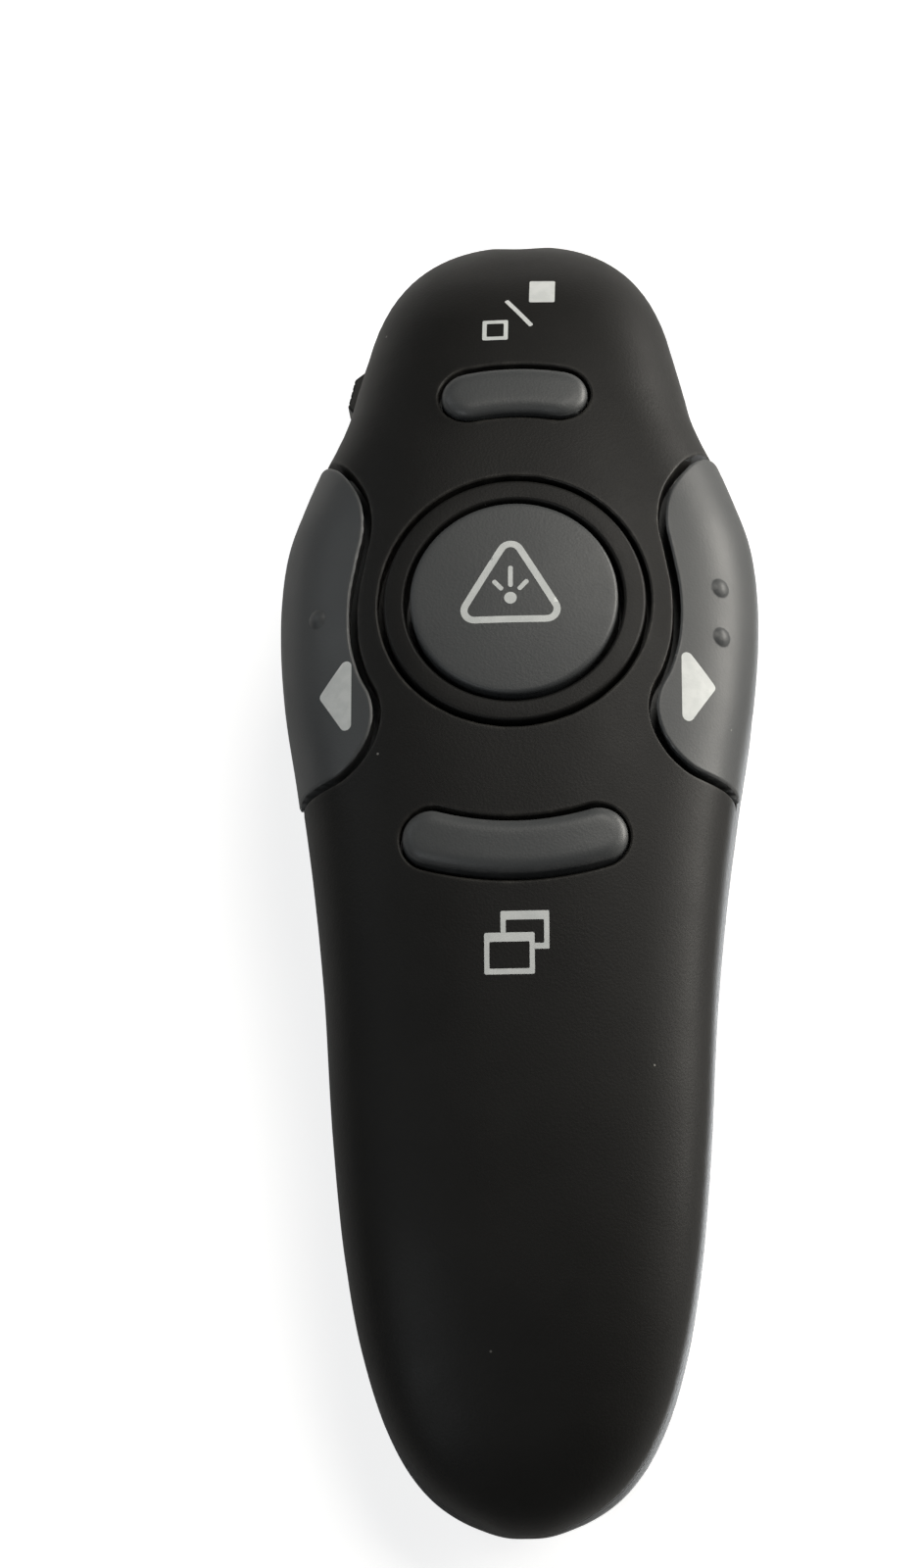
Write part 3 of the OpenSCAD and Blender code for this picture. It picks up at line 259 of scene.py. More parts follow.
# %% [markdown]
# ## Filling an outline with triangles
# A constrained triangulation joins any set of points and keeps the outline's own edges. Rows of
# points that follow each edge closely leave room for its rounding, and a plain grid fills the
# rest. The result is doubled into a top and a bottom and closed along its rims, so that every
# piece made this way is a closed solid.

# %% Outlines, fills and closed sheets
def moved(loop, by):
    """A closed loop moved sideways, to its left as it runs."""
    along = unit(np.roll(loop, -1, 0) - np.roll(loop, 1, 0))
    return loop + by * np.stack([-along[:, 1], along[:, 0]], 1)


def inside(points, loop):
    """Which of the points lie inside a closed loop."""
    x, y = points.T
    found = np.zeros(len(points), bool)
    for (x0, y0), (x1, y1) in zip(loop, np.roll(loop, -1, 0)):
        if y0 != y1:
            found ^= ((y0 > y) != (y1 > y)) & (x < (x1 - x0) * (y - y0) / (y1 - y0) + x0)
    return found


def resampled(path, step, closed=False):
    """Points at even steps along a path."""
    path = np.vstack([path, path[:1]]) if closed else np.asarray(path, float)
    length = np.concatenate([[0], np.cumsum(np.linalg.norm(np.diff(path, axis=0), axis=1))])
    count = max(int(round(length[-1] / step)), 2)
    at = np.linspace(0, length[-1], count + 1)
    even = np.stack([np.interp(at, length, c) for c in path.T], 1)
    return even[:-1] if closed else even


def tree_of(points):
    """Search tree over points in space."""
    tree = kdtree.KDTree(len(points))
    for i, p in enumerate(points):
        tree.insert(p, i)
    tree.balance()
    return tree


def nearest(tree, points):
    """Distance to, and number of, the tree's point nearest each point."""
    found = [tree.find(p) for p in points]
    return np.array([f[2] for f in found]), np.array([f[1] for f in found])


def flat3(points):
    """Points of a plane put into space."""
    return np.column_stack([points, np.zeros(len(points))])


def ring_of(x, y, radius, count=48):
    """Circle of points, anticlockwise."""
    turn = np.arange(count) * 2 * math.pi / count
    return np.stack([x + radius * np.cos(turn), y + radius * np.sin(turn)], 1)


def closed_pairs(count, start=0):
    """Neighbours round a closed loop of points, numbered from start."""
    return [(start + i, start + (i + 1) % count) for i in range(count)]


def fill(loops, spacing, rows=(), extra=None):
    """Triangles inside the first loop and outside the others, with rows of points along each. The
    plain grid starts a little further in than the last row, and keeps off the extra points."""
    tree = tree_of(flat3(np.vstack([resampled(loop, 0.1, True) for loop in loops])))

    def kept(points, room):
        good = inside(points, loops[0])
        for hole in loops[1:]:
            good &= ~inside(points, hole)
        points = points[good]
        return points[nearest(tree, flat3(points))[0] > room] if len(points) else points

    low, high = loops[0].min(0), loops[0].max(0)
    grid = np.stack(np.meshgrid(np.arange(low[0] + spacing / 3, high[0], spacing),
                                np.arange(low[1] + spacing / 3, high[1], spacing)), -1).reshape(-1, 2)
    both_ways = (*rows, *(-row for row in rows))
    parts = list(loops)
    parts += [kept(moved(loop, way), 0.93 * abs(way)) for loop in loops for way in both_ways]
    grid = kept(grid, (rows[-1] if rows else 0) + 0.45 * spacing)
    if extra is not None and len(extra):
        extra_tree = tree_of(flat3(extra))
        grid = grid[nearest(extra_tree, flat3(grid))[0] > 0.4 * spacing]
        parts.append(kept(extra, 0.02))
    parts.append(grid)
    edges = []
    for loop in loops:
        edges += closed_pairs(len(loop), len(edges))
    points = np.vstack(parts)
    verts, _, faces, *_ = delaunay_2d_cdt([Vector(p) for p in points], edges, [], 0, 1e-7)
    verts = np.array([tuple(v) for v in verts])
    faces = np.array([f for f in faces if len(f) == 3])
    centre = verts[faces].mean(1)
    good = inside(centre, loops[0])
    for hole in loops[1:]:
        good &= ~inside(centre, hole)
    return verts, faces[good].tolist()


def make_piece(name, points, faces, sharp=35):
    """A mesh object from points in millimetres, smooth but for edges sharper than an angle."""
    mesh = mesh_from(name, points, faces)
    shape = bmesh.new()
    shape.from_mesh(mesh)
    if shape.calc_volume(signed=True) < 0:
        bmesh.ops.reverse_faces(shape, faces=shape.faces)
        shape.to_mesh(mesh)
    shape.free()
    return soften(in_scene(name, mesh), sharp)


def soften(piece, sharp=35):
    """Shade a piece smooth but for edges sharper than an angle."""
    piece.data.update()
    piece.data.shade_smooth()
    piece.data.set_sharp_from_angle(angle=math.radians(sharp))
    return piece


def closed_sheet(name, faces, top, bottom, sharp=35, edge=None):
    """A solid from a face list used twice: for its top, and turned over for its bottom. The edge
    values, from 1 on a rim to 0 away from it, are kept on its points for the finish."""
    n = len(top)
    once = {}
    for face in faces:
        for i, j in zip(face, face[1:] + face[:1]):
            if (j, i) in once:
                del once[(j, i)]
            else:
                once[(i, j)] = True
    under = [[i + n for i in reversed(face)] for face in faces]
    rims = [[i, i + n, j + n, j] for i, j in once]
    used = sorted({i for face in faces for i in face})
    number = np.full(n, -1)
    number[used] = np.arange(len(used))
    fewer = np.concatenate([number, np.where(number < 0, -1, number + len(used))])
    points = np.vstack([top[used], bottom[used]])
    piece = make_piece(name, points, [fewer[f].tolist() for f in faces + under + rims], sharp)
    if edge is not None:
        kept = piece.data.attributes.new("edge", "FLOAT", "POINT")
        kept.data.foreach_set("value", np.concatenate([edge[used], edge[used]]).astype(np.float32))
    return piece


# %% [markdown]
# ## Pieces of skin
# Every edge of a piece of skin is of one kind: cut straight down, cut along the laser's axis, cut
# in from the flank, or left at the joint. The kind says which way the wall under the edge runs
# and how wide its rounding is. A piece is then the filled outline lifted onto the crown, lowered
# near its edges along a quarter of an ellipse, and given its thickness.

# %% Lift a filled outline onto the crown
CUT = {"down": (0, 0, 1), "bore": (0, 1, 0), "flank": (1, 0, 0), "joint": None}
DOT_R, DOT_RISE = 0.92, 0.3
DOT_ROWS = (0.12, 0.25, 0.4, 0.55, 0.7, 0.82, 0.92, 1.0, 1.08, 1.25)
DOT_FINE = 36
STRAIGHT_WALL, WALL_BLEND = 0.4, 2.0


def skin_piece(name, outer, holes=(), out=0.0, depth=WALL, spacing=0.75, sag=None, width=None,
               rows=(0.03, 0.08, 0.15, 0.22, 0.3), flat=None, dots=()):
    """Solid piece of the crown. Loops are lists of (path on the map, kind of cut), and dots are
    places on the map where the skin swells. The rounding under an edge is sag deep and width
    wide, and a flat height ends the piece there instead of at its depth."""
    sag = sag or {"down": 0.2, "bore": 0.25, "flank": 0.2, "joint": 0.12}
    width = width or sag
    loops, samples, kinds = [], [], []
    for loop in [outer, *holes]:
        pieces = [path[:-1] if len(loop) > 1 else path for path, _ in loop]
        loops.append(np.vstack(pieces))
        for path, kind in loop:
            dense = resampled(path, 0.06, closed=len(loop) == 1)
            samples.append(dense)
            kinds += [kind] * len(dense)
    kinds = np.array(kinds)
    edge_st = np.vstack(samples)
    edge_at = on_skin(edge_st, out)
    edge_normal = skin_normal(edge_st, out)
    edge_along = unit(np.vstack([np.gradient(on_skin(p, out), axis=0) for p in samples]))
    cut = np.array([CUT[k] or (0, 0, 0) for k in kinds], float)
    at_joint = kinds == "joint"
    cut[at_joint] = edge_normal[at_joint]
    wall_normal = unit(np.cross(edge_along, cut))
    swell = [dot + ring_of(0, 0, share * DOT_R, max(int(DOT_FINE * share), 6))
             for dot in dots for share in DOT_ROWS]
    st, faces = fill(loops, spacing, rows, np.vstack(swell) if swell else None)
    base, normal = on_skin(st, out), skin_normal(st, out)
    away, number = nearest(tree_of(edge_at), base)
    sags = np.array([sag[k] for k in kinds])[number]
    widths = np.array([width[k] for k in kinds])[number]
    top = base - normal * (rounding(away, widths) * sags / widths)[:, None]
    for dot in dots:
        share = np.minimum(np.linalg.norm(base - on_skin(dot[None], out), axis=1) / DOT_R, 1)
        top += normal * (DOT_RISE * (1 - share ** 2))[:, None]
    # Nearness to an edge, which the finish turns into a pale line of wear and painted highlight.
    edge = np.exp(-(away / (0.35 + 0.3 * widths)) ** 2)
    shrink = (HALF_LENGTH - depth) / HALF_LENGTH
    bottom = on_skin(st, out - depth) * [1, shrink, 1]
    free = ~at_joint
    if free.any():
        away, number = nearest(tree_of(edge_at[free]), base)
        across = wall_normal[free][number]
        down = unit(normal - (normal * across).sum(1, keepdims=True) * across)
        lean = np.maximum((normal * down).sum(1, keepdims=True), 0.4)
        straight = base - down * depth / lean
        share = np.clip((away - STRAIGHT_WALL) / WALL_BLEND, 0, 1)[:, None]
        share = share ** 2 * (3 - 2 * share)
        bottom = straight * (1 - share) + bottom * share
    if flat is not None:
        bottom = np.column_stack([base[:, :2], np.full(len(base), flat)])
    return closed_sheet(name, faces, top, bottom, edge=edge)


def rounding(distance, radius):
    """How far a rounded edge has dropped at a distance from the wall."""
    short = np.clip(radius - distance, 0, radius)
    return radius - np.sqrt(np.maximum(radius ** 2 - short ** 2, 0))


# %% [markdown]
# ## Outlines of the openings and keys
# The round opening and the two arches are drawn in plan and carried over to the map. A side key's
# edge is a smooth curve through listed points, and its opening is the same curve moved out
# by the gap, so that the gap has one width all along.

# %% Outlines in plan, in millimetres
KEY_GAP = 0.5
RING_HOLE = 12.15
ARCH_W = 4.8
SCREEN_ARCH = (21.2, 4.0, 1)
WINDOW_ARCH = (23.3, 7.2, -1)
KEY_EDGE = np.array([(-2.8, 17.2), (2.8, 16.8), (5, 15.2), (6.6, 12.8), (7.6, 10.4), (7.85, 7.6),
                     (7.3, 4.6), (6.7, .8), (6.8, -3.2), (7.6, -6.4), (8.6, -8.6), (8.85, -10.6),
                     (8.2, -12.8), (6.6, -14.8), (4.2, -15.8), (-2.8, -16.4)])
SIDE_TRAVEL_ROOM = 0.55
LASER_Z, BORE_R = 10.5, 3.1
KNOB_Y, KNOB_LEN, KNOB_TRAVEL, KNOB_REACH = 44.9, 4.6, 2.0, 0.9
KNOB_Z, KNOB_H, KNOB_LAP, RUN_GAP = 12.4, 2.6, 0.35, 0.15
KNOB_TAIL, KNOB_NOSE = KNOB_Y - KNOB_LEN / 2, KNOB_Y + KNOB_LEN / 2
SLOT_Y = (KNOB_TAIL - RUN_GAP, KNOB_NOSE + KNOB_TRAVEL + RUN_GAP)
SLOT_Z = (KNOB_Z - KNOB_H / 2 - RUN_GAP, KNOB_Z + KNOB_H / 2 + RUN_GAP)
SLOT_CORNER, SLOT_INNER = 0.5, 10.3
BORE_BACK = 45.3


def circle(radius, step=0.35):
    """Circle round the button's centre."""
    return ring_of(0, BUTTON_Y, radius, int(2 * math.pi * radius / step))


def arch(radius, half, side, grow=0.0, step=0.3):
    """Arched pill round the button's centre, side 1 ahead of it and -1 behind it."""
    span, r = math.asin(half / radius), ARCH_W / 2 + grow
    line = np.linspace(-span, span, 40)
    cap = np.linspace(0, math.pi, 24)[1:-1]

    def at(distance, turn):
        return np.stack([distance * np.sin(turn), side * distance * np.cos(turn)], -1)

    ends = [at(radius, e) + r * np.stack([np.sin(e + cap + a), side * np.cos(e + cap + a)], -1)
            for e, a in ((span, 0), (-span, math.pi))]
    path = np.vstack([at(radius + r, line), ends[0], at(radius - r, line[::-1]), ends[1]])
    return resampled(path + [0, BUTTON_Y], step, True)


def through(points, steps=16):
    """Round curve through the points of a path."""
    p = np.vstack([points[:1], points, points[-1:]])
    a, b, c, d = p[:-3], p[1:-2], p[2:-1], p[3:]
    t = np.linspace(0, 1, steps, endpoint=False)[None, :, None]
    a, b, c, d = (q[:, None, :] for q in (a, b, c, d))
    path = 0.5 * (2 * b + (c - a) * t + (2 * a - 5 * b + 4 * c - d) * t ** 2
                  + (3 * b - a - 3 * c + d) * t ** 3)
    return np.vstack([path.reshape(-1, 2), points[-1:]])


def key_edge(side, grow=0.0):
    """Inner edge of a side key in plan, from its nose end to its tail end."""
    path = through(KEY_EDGE)
    along = unit(np.gradient(path, axis=0))
    path = path + grow * np.stack([-along[:, 1], along[:, 0]], 1)
    return np.stack([side * (HALF_WIDTH - path[:, 0]), BUTTON_Y + path[:, 1]], 1)


def cut_at(path, inside_of):
    """The run of a path where a function of it is negative, with its two ends put where it is zero."""
    value = inside_of(path)
    first, last = np.flatnonzero(value < 0)[[0, -1]]
    run = [path[i] + (path[j] - path[i]) * value[i] / (value[i] - value[j])
           for i, j in ((first - 1, first), (last + 1, last))]
    return np.vstack([run[0], path[first:last + 1], run[1]])


def joint_s(y):
    """Place of the joint on the map, right side."""
    return ARC[0] * half_w(y) / HALF_WIDTH


def flank_line(side, y0, y1, lift=0.0, step=0.35):
    """Line along the flank on the map, lifted above the joint, from y0 to y1."""
    t = HALF_LENGTH * np.arcsin(np.clip(np.array([y0, y1]) / HALF_LENGTH, -1, 1))
    t = np.linspace(t[0], t[1], max(int(abs(t[1] - t[0]) / step), 2))
    y = HALF_LENGTH * np.sin(t / HALF_LENGTH)
    angle = np.arcsin(np.clip(lift / crown_h(y), 0, 1) ** (CROWN_POWER / 2))
    return np.stack([side * np.interp(angle, ANGLES, ARC) * half_w(y) / HALF_WIDTH, t], 1)


def key_opening(side):
    """Edge of the notch for a side key, on the map."""
    edge = cut_at(key_edge(side, KEY_GAP), lambda p: np.abs(p[:, 0]) - half_w(p[:, 1]))
    return resampled(mapped(edge), 0.3)


def bore_opening():
    """Edge of the laser's bore on the crown, from the right of the joint to its left."""
    turn = np.linspace(-2.6, 2.6, 261)
    x, z = BORE_R * np.sin(turn), LASER_Z + BORE_R * np.cos(turn)
    low, high = np.full(len(x), 55.0), np.full(len(x), HALF_LENGTH)
    for _ in range(40):
        middle = (low + high) / 2
        over = crown_z(x, middle) > z
        low, high = np.where(over, middle, low), np.where(over, high, middle)
    path = np.stack([x, low, z], 1)[::-1]
    above = cut_at(path, lambda p: joint_z(p[:, 1]) - p[:, 2])
    return resampled(mapped(above), 0.25)


def knob_opening():
    """Edge of the knob's slot on the left flank, from its nose end to its tail end."""
    y0, y1 = SLOT_Y
    r = SLOT_CORNER
    turn = np.linspace(0, math.pi / 2, 8)
    nose = np.stack([y1 - r + r * np.cos(turn), SLOT_Z[1] - r + r * np.sin(turn)], 1)
    tail = np.stack([y0 + r - r * np.sin(turn), SLOT_Z[1] - r + r * np.cos(turn)], 1)
    yz = resampled(np.vstack([[y1, 8], nose, tail, [y0, 8]]), 0.1)
    yz = cut_at(yz, lambda p: joint_z(p[:, 0]) - p[:, 1])
    lift = np.clip((yz[:, 1] - joint_z(yz[:, 0])) / crown_h(yz[:, 0]), 0, 1)
    angle = np.arcsin(lift ** (CROWN_POWER / 2))
    s = -np.interp(angle, ANGLES, ARC) * half_w(yz[:, 0]) / HALF_WIDTH
    return resampled(np.stack([s, HALF_LENGTH * np.arcsin(yz[:, 0] / HALF_LENGTH)], 1), 0.3)


def y_of(st):
    """Place along the body of one point on the map."""
    return HALF_LENGTH * math.sin(st[1] / HALF_LENGTH)


# %% [markdown]
# ## Upper shell
# One outline runs up the right side of the joint, round the key's notch, over the laser's bore
# and back down the left side. With the ring's hole and the two arches cut out, it makes the whole
# shell in one piece with true edges, which cutting a finished mesh would leave ragged.

# %% Upper shell
def shell_outline():
    """Outline of the upper shell on the map, anticlockwise, as (path, kind of cut)."""
    right, left = key_opening(1)[::-1], key_opening(-1)
    bore, slot = bore_opening(), knob_opening()
    tip = float(joint_s(np.array(-HALF_LENGTH)))
    low = -MAP_END - END_CAP
    cap = [(-tip, -MAP_END), (-tip, low), (tip, low), (tip, -MAP_END)]
    return [(flank_line(1, -HALF_LENGTH, y_of(right[0])), "joint"), (right, "down"),
            (flank_line(1, y_of(right[-1]), y_of(bore[0])), "joint"), (bore, "bore"),
            (flank_line(-1, y_of(bore[-1]), y_of(slot[0])), "joint"), (slot, "flank"),
            (flank_line(-1, y_of(slot[-1]), y_of(left[0])), "joint"), (left, "down"),
            (flank_line(-1, y_of(left[-1]), -HALF_LENGTH), "joint"),
            (resampled(np.array(cap), 0.12), "joint")]


def mapped(path):
    """A path in plan, carried over to the map."""
    return on_map(path[:, 0], path[:, 1])


openings = [[(mapped(circle(RING_HOLE)), "down")]]
openings += [[(mapped(arch(*a, KEY_GAP)), "down")] for a in (SCREEN_ARCH, WINDOW_ARCH)]
upper_shell = skin_piece("upper_skin", shell_outline(), openings)
print("upper shell", len(upper_shell.data.polygons), "faces")

# %% [markdown]
# ## Keys
# A side key is a piece of the same skin, a little higher, with a soft edge where the thumb finds
# it. An arched key is a low pillow with wide rounded edges. All of them reach down past the shell
# and widen there into a lip, which keeps them in.

# %% Keys
LIP_GAP, LIP_T, LIP_GROW = 0.35, 0.8, 1.0
BODY_BOTTOM = WALL + LIP_GAP + LIP_T
POST_R, POST_DROP = 1.6, 0.5
SIDE_SWITCH = (13.5, 9.7)
SIDE_LIP_LIFT = 1.6
FOOT_FROM, FOOT_LIFT = 15.2, 0.5
BACK_DOTS, FORWARD_DOTS = [(3.8, -0.4)], [(3.25, 1.9), (3.2, -2.8)]
ARCH_RISE = 0.7


def join(pieces, name):
    """One object of several, under a new name."""
    mesh = bpy.data.meshes.new(name)
    whole = bmesh.new()
    for piece in pieces:
        whole.from_mesh(piece.data)
        bpy.data.objects.remove(piece)
    whole.to_mesh(mesh)
    whole.free()
    return in_scene(name, mesh)


def prism(name, end, way):
    """Solid between a closed ring of points and the same ring moved away from it."""
    n = len(end)
    faces = [list(range(n))[::-1], list(range(n, 2 * n))]
    faces += [[i, k, n + k, n + i] for i, k in closed_pairs(n)]
    return make_piece(name, np.vstack([end, end + way]), faces)


def lathe(name, profile, x, y, count=48, level=None):
    """Closed solid of revolution, its profile given as (radius, place along the axis) with both
    ends on the axis. The axis is upright at x and y, or runs along +Y at x and a level."""
    turn = np.arange(count) * 2 * math.pi / count
    inner = np.array(profile[1:-1])
    rings = np.stack([x + inner[:, :1] * np.cos(turn), y + inner[:, :1] * np.sin(turn),
                      inner[:, 1:] + 0 * turn], -1).reshape(-1, 3)
    points = np.vstack([rings, [x, y, profile[0][1]], [x, y, profile[-1][1]]])
    if level is not None:
        points = np.column_stack([points[:, 0], points[:, 2], level + points[:, 1] - y])
    n, top, low = len(inner), len(rings), len(rings) + 1
    faces = []
    for k, m in closed_pairs(count):
        faces += [[i * count + k, (i + 1) * count + k, (i + 1) * count + m, i * count + m]
                  for i in range(n - 1)]
        faces += [[top, k, m], [low, (n - 1) * count + m, (n - 1) * count + k]]
    return make_piece(name, points, faces)


def anticlockwise(loop):
    """The same loop, turned round where it runs clockwise."""
    return loop if np.cross(loop, np.roll(loop, -1, 0)).sum() > 0 else loop[::-1]


def slab(name, loop, z0, z1, mouth=0.0, brim=0.0):
    """Upright prism over a plan loop. A mouth flares it towards the underside at height 0 and
    goes on below it, and a brim rounds its low edge in."""
    loop = anticlockwise(loop)
    depths = np.array([0.0, 0.15, 0.4, 0.7, 1.0]) * max(mouth, brim)
    if mouth:
        levels = [(-1.0, mouth), *((d, rounding(d, mouth)) for d in depths)]
    elif brim:
        levels = [(z0 + d, -rounding(d, brim)) for d in depths]
    else:
        levels = [(z0, 0.0)]
    levels.append((z1, 0.0))
    n = len(loop)
    points = np.vstack([np.column_stack([moved(loop, -grow), np.full(n, z)]) for z, grow in levels])
    last = (len(levels) - 1) * n
    faces = [list(range(n))[::-1], list(range(last, last + n))]
    for level in range(len(levels) - 1):
        faces += [[a, b, b + n, a + n] for a, b in closed_pairs(n, level * n)]
    return make_piece(name, points, faces)


def evaluated(piece):
    """The plain mesh that an object's modifiers make of it."""
    graph = bpy.context.evaluated_depsgraph_get()
    return bpy.data.meshes.new_from_object(piece.evaluated_get(graph))


def settle(piece):
    """Give an object the mesh that its modifiers make, and take them off."""
    mesh = evaluated(piece)
    piece.modifiers.clear()
    piece.data = mesh


def combine(piece, *steps):
    """Add or cut solids in turn: each step is an operation and its list of solids."""
    for operation, solids in steps:
        for solid in solids:
            step = piece.modifiers.new("step", "BOOLEAN")
            step.operation, step.solver, step.object = operation, "MANIFOLD", solid
    settle(piece)
    for _, solids in steps:
        for solid in solids:
            bpy.data.objects.remove(solid)
    return soften(piece)


def foot_cut(side):
    """Solid that ends a little above the joint, to trim a side key's foot clear of the lower shell."""
    y = np.linspace(-2, 40, 85)
    rim = np.vstack([np.stack([y, joint_z(y) + FOOT_LIFT], 1), [(y[-1], 12), (y[0], 12)]])
    low, high = sorted((side * FOOT_FROM, side * (HALF_WIDTH + 1.8)))
    return prism("foot_cut", np.column_stack([np.full(len(rim), low), rim]), [high - low, 0, 0])


def side_key(name, side, dots):
    """Cap, lip and post of a side key, with the dots that the thumb feels. A dot's place is its
    depth in from the widest flank, and its distance ahead of the button's centre."""
    def outline(grow, lift):
        def beyond(path):
            y = path[:, 1]
            share = np.clip(crown_h(y) ** CROWN_POWER - lift ** CROWN_POWER, 0, None) ** (1 / CROWN_POWER)
            return np.abs(path[:, 0]) - half_w(y) * share / crown_h(y)
        edge = cut_at(key_edge(side, grow), beyond)
        edge = resampled(mapped(edge), 0.25)
        edge = edge[::-1] if side > 0 else edge
        flank = flank_line(side, y_of(edge[-1]), y_of(edge[0]), lift, 0.3)
        flank[0], flank[-1] = edge[-1], edge[0]
        return [(edge, "down"), (flank, "joint")]

    sag = {"down": 0.24, "joint": 0.25}
    dots = [mapped(np.array([[side * (HALF_WIDTH - depth), BUTTON_Y + y]]))[0] for depth, y in dots]
    cap = skin_piece(name + "_cap", outline(0, SIDE_TRAVEL_ROOM), out=KEY_RISE, depth=KEY_RISE + BODY_BOTTOM,
                     spacing=0.6, sag=sag, width={"down": 0.28, "joint": 0.35},
                     rows=(0.03, 0.08, 0.14, 0.21, 0.28, 0.36), dots=dots)
    lip = skin_piece(name + "_lip", outline(LIP_GROW, SIDE_TRAVEL_ROOM + SIDE_LIP_LIFT),
                     out=-WALL - LIP_GAP, depth=LIP_T, spacing=1.2, sag={"down": 0.05, "joint": 0.05},
                     rows=(0.1,))
    x = side * SIDE_SWITCH[0]
    low, high = (float(crown_z(abs(x) + r, np.array(SIDE_SWITCH[1]), -WALL - LIP_GAP - t))
                 for r, t in ((POST_R, LIP_T), (0, LIP_T / 2)))
    post = lathe(name + "_post", [(0, high), (POST_R, high), (POST_R, low - RUN_GAP), (0, low - RUN_GAP)],
                 x, SIDE_SWITCH[1])
    return combine(join([cap, lip, post], name + "_cap"), ("DIFFERENCE", [foot_cut(side)]))


side_keys = {"back_key": side_key("back_key", -1, BACK_DOTS),
             "forward_key": side_key("forward_key", 1, FORWARD_DOTS)}


def arch_key(name, radius, half, side):
    """Pillow, lip and post of an arched key."""
    end_y = BUTTON_Y + side * radius * math.cos(math.asin(half / radius))
    toe_y = end_y + (ARCH_W / 2 + KEY_GAP if side > 0 else 0)
    lip_top = float(crown_z(half + ARCH_W / 2 + LIP_GROW, np.array(toe_y), -WALL)) - LIP_GAP
    pillow = skin_piece(name + "_pillow", [(mapped(arch(radius, half, side)), "down")], out=ARCH_RISE,
                        spacing=0.5, sag={"down": 0.85}, width={"down": 1.3},
                        rows=(0.03, 0.1, 0.2, 0.34, 0.52, 0.75, 1.0, 1.3), flat=lip_top - LIP_T / 2)
    lip = slab(name + "_lip", arch(radius, half, side, LIP_GROW), lip_top - LIP_T, lip_top)
    low = lip_top - LIP_T - POST_DROP
    post = lathe(name + "_post", [(0, lip_top), (POST_R, lip_top - 0.1), (POST_R, low), (0, low)],
                 0, BUTTON_Y + side * radius)
    return join([pillow, lip, post], name + "_cap")


arch_keys = {"screen_key": arch_key("screen_key", *SCREEN_ARCH),
             "window_key": arch_key("window_key", *WINDOW_ARCH)}
print({name: len(key.data.polygons) for name, key in (side_keys | arch_keys).items()})

# %% [markdown]
# ## Lower shell
# The underside has no openings that wrap round its curve, so it starts as plain rows of points
# for its skin and its cavity. What stands inside it, such as the walls of the battery bay, the
# receiver's pocket and the screw bosses, is added as solids. What is open is cut out afterwards
# with solids whose mouths flare by a quarter round, which leaves every edge softly rounded.

# %% Solids for adding and cutting
def plan_box(x0, x1, y0, y1, corner):
    """Rectangle in plan with round corners, anticlockwise."""
    turn = np.linspace(0, math.pi / 2, 12 if corner > 1 else 5)
    arcs = [np.stack([x + corner * np.cos(turn + a), y + corner * np.sin(turn + a)], 1)
            for x, y, a in ((x1 - corner, y1 - corner, 0), (x0 + corner, y1 - corner, math.pi / 2),
                            (x0 + corner, y0 + corner, math.pi), (x1 - corner, y0 + corner, 1.5 * math.pi))]
    return np.vstack(arcs)


def round_off(mesh, edges, radius):
    """Round some edges of a mesh that is being built."""
    bmesh.ops.bevel(mesh, geom=edges, offset=radius * MM, segments=3, affect="EDGES", profile=0.5)


def finished(name, mesh):
    """Object of a mesh that has been built."""
    data = bpy.data.meshes.new(name)
    mesh.to_mesh(data)
    mesh.free()
    return in_scene(name, data)


def block(low, high, edge=0.0, name="block"):
    """Box, with its edges rounded when edge is given."""
    mesh = bmesh.new()
    bmesh.ops.create_cube(mesh, size=1)
    low, high = np.array(low) * MM, np.array(high) * MM
    for v in mesh.verts:
        v.co = Vector(low + (np.array(v.co) + 0.5) * (high - low))
    if edge:
        round_off(mesh, list(mesh.edges), edge)
    return soften(finished(name, mesh))


def rod(x, y0, z, radius, length, count=64):
    """Cylinder along +Y."""
    turn = np.arange(count) * 2 * math.pi / count
    end = np.stack([x + radius * np.cos(turn), 0 * turn + y0, z - radius * np.sin(turn)], 1)
    return prism("rod", end, [0, length, 0])


def across(x0, length, y, z, radius, count=48):
    """Cylinder along +X."""
    turn = np.arange(count) * 2 * math.pi / count
    end = np.stack([0 * turn + x0, y + radius * np.cos(turn), z + radius * np.sin(turn)], 1)
    return prism("across", end, [length, 0, 0])


# %% Skin and cavity of the lower shell
KEEL_ROWS, KEEL_STEP = 170, 0.85
JOINT_ROUND = 0.12


def soft_max(value, floor, width=0.6):
    """The larger of two numbers, with the corner between them rounded."""
    near = np.maximum(width - np.abs(value - floor), 0) / width
    return np.maximum(value, floor) + near ** 2 * width / 4


def keel_rows(out, floor):
    """Rows of points round the underside, from the joint on the right to that on the left. The
    skin's rows come in a little at the joint, in a small round."""
    arc = arc_along(KEEL_FULL, KEEL_POWER)
    near = np.array([0, 0.03, 0.08, 0.15, 0.4])
    middle = np.linspace(0.9, arc[-1] - 0.9, int(arc[-1] / KEEL_STEP))
    at = np.concatenate([near, middle, arc[-1] - near[::-1]])
    angle = np.interp(at, arc, ANGLES)[None, :]
    end = HALF_LENGTH + out
    y = (end * np.sin(np.linspace(-math.pi / 2, math.pi / 2, KEEL_ROWS)))[:, None]
    own = y * HALF_LENGTH / end
    w, h = np.maximum(half_w(own) + out, LEAST_W), np.maximum(keel_h(own) + out, LEAST_H)
    rows = np.stack([w * power_cos(angle, KEEL_POWER), y + 0 * angle,
                     soft_max(joint_z(own) - h * power_sin(angle, KEEL_POWER), floor)], -1)
    if out == 0:
        normal = unit(np.cross(np.gradient(rows, axis=0), np.gradient(rows, axis=1)))
        drop = rounding(np.minimum(at, arc[-1] - at), JOINT_ROUND)
        rows += normal * drop[None, :, None] * np.where(np.abs(y) < HALF_LENGTH - 0.4, 1, 0)[..., None]
    return rows


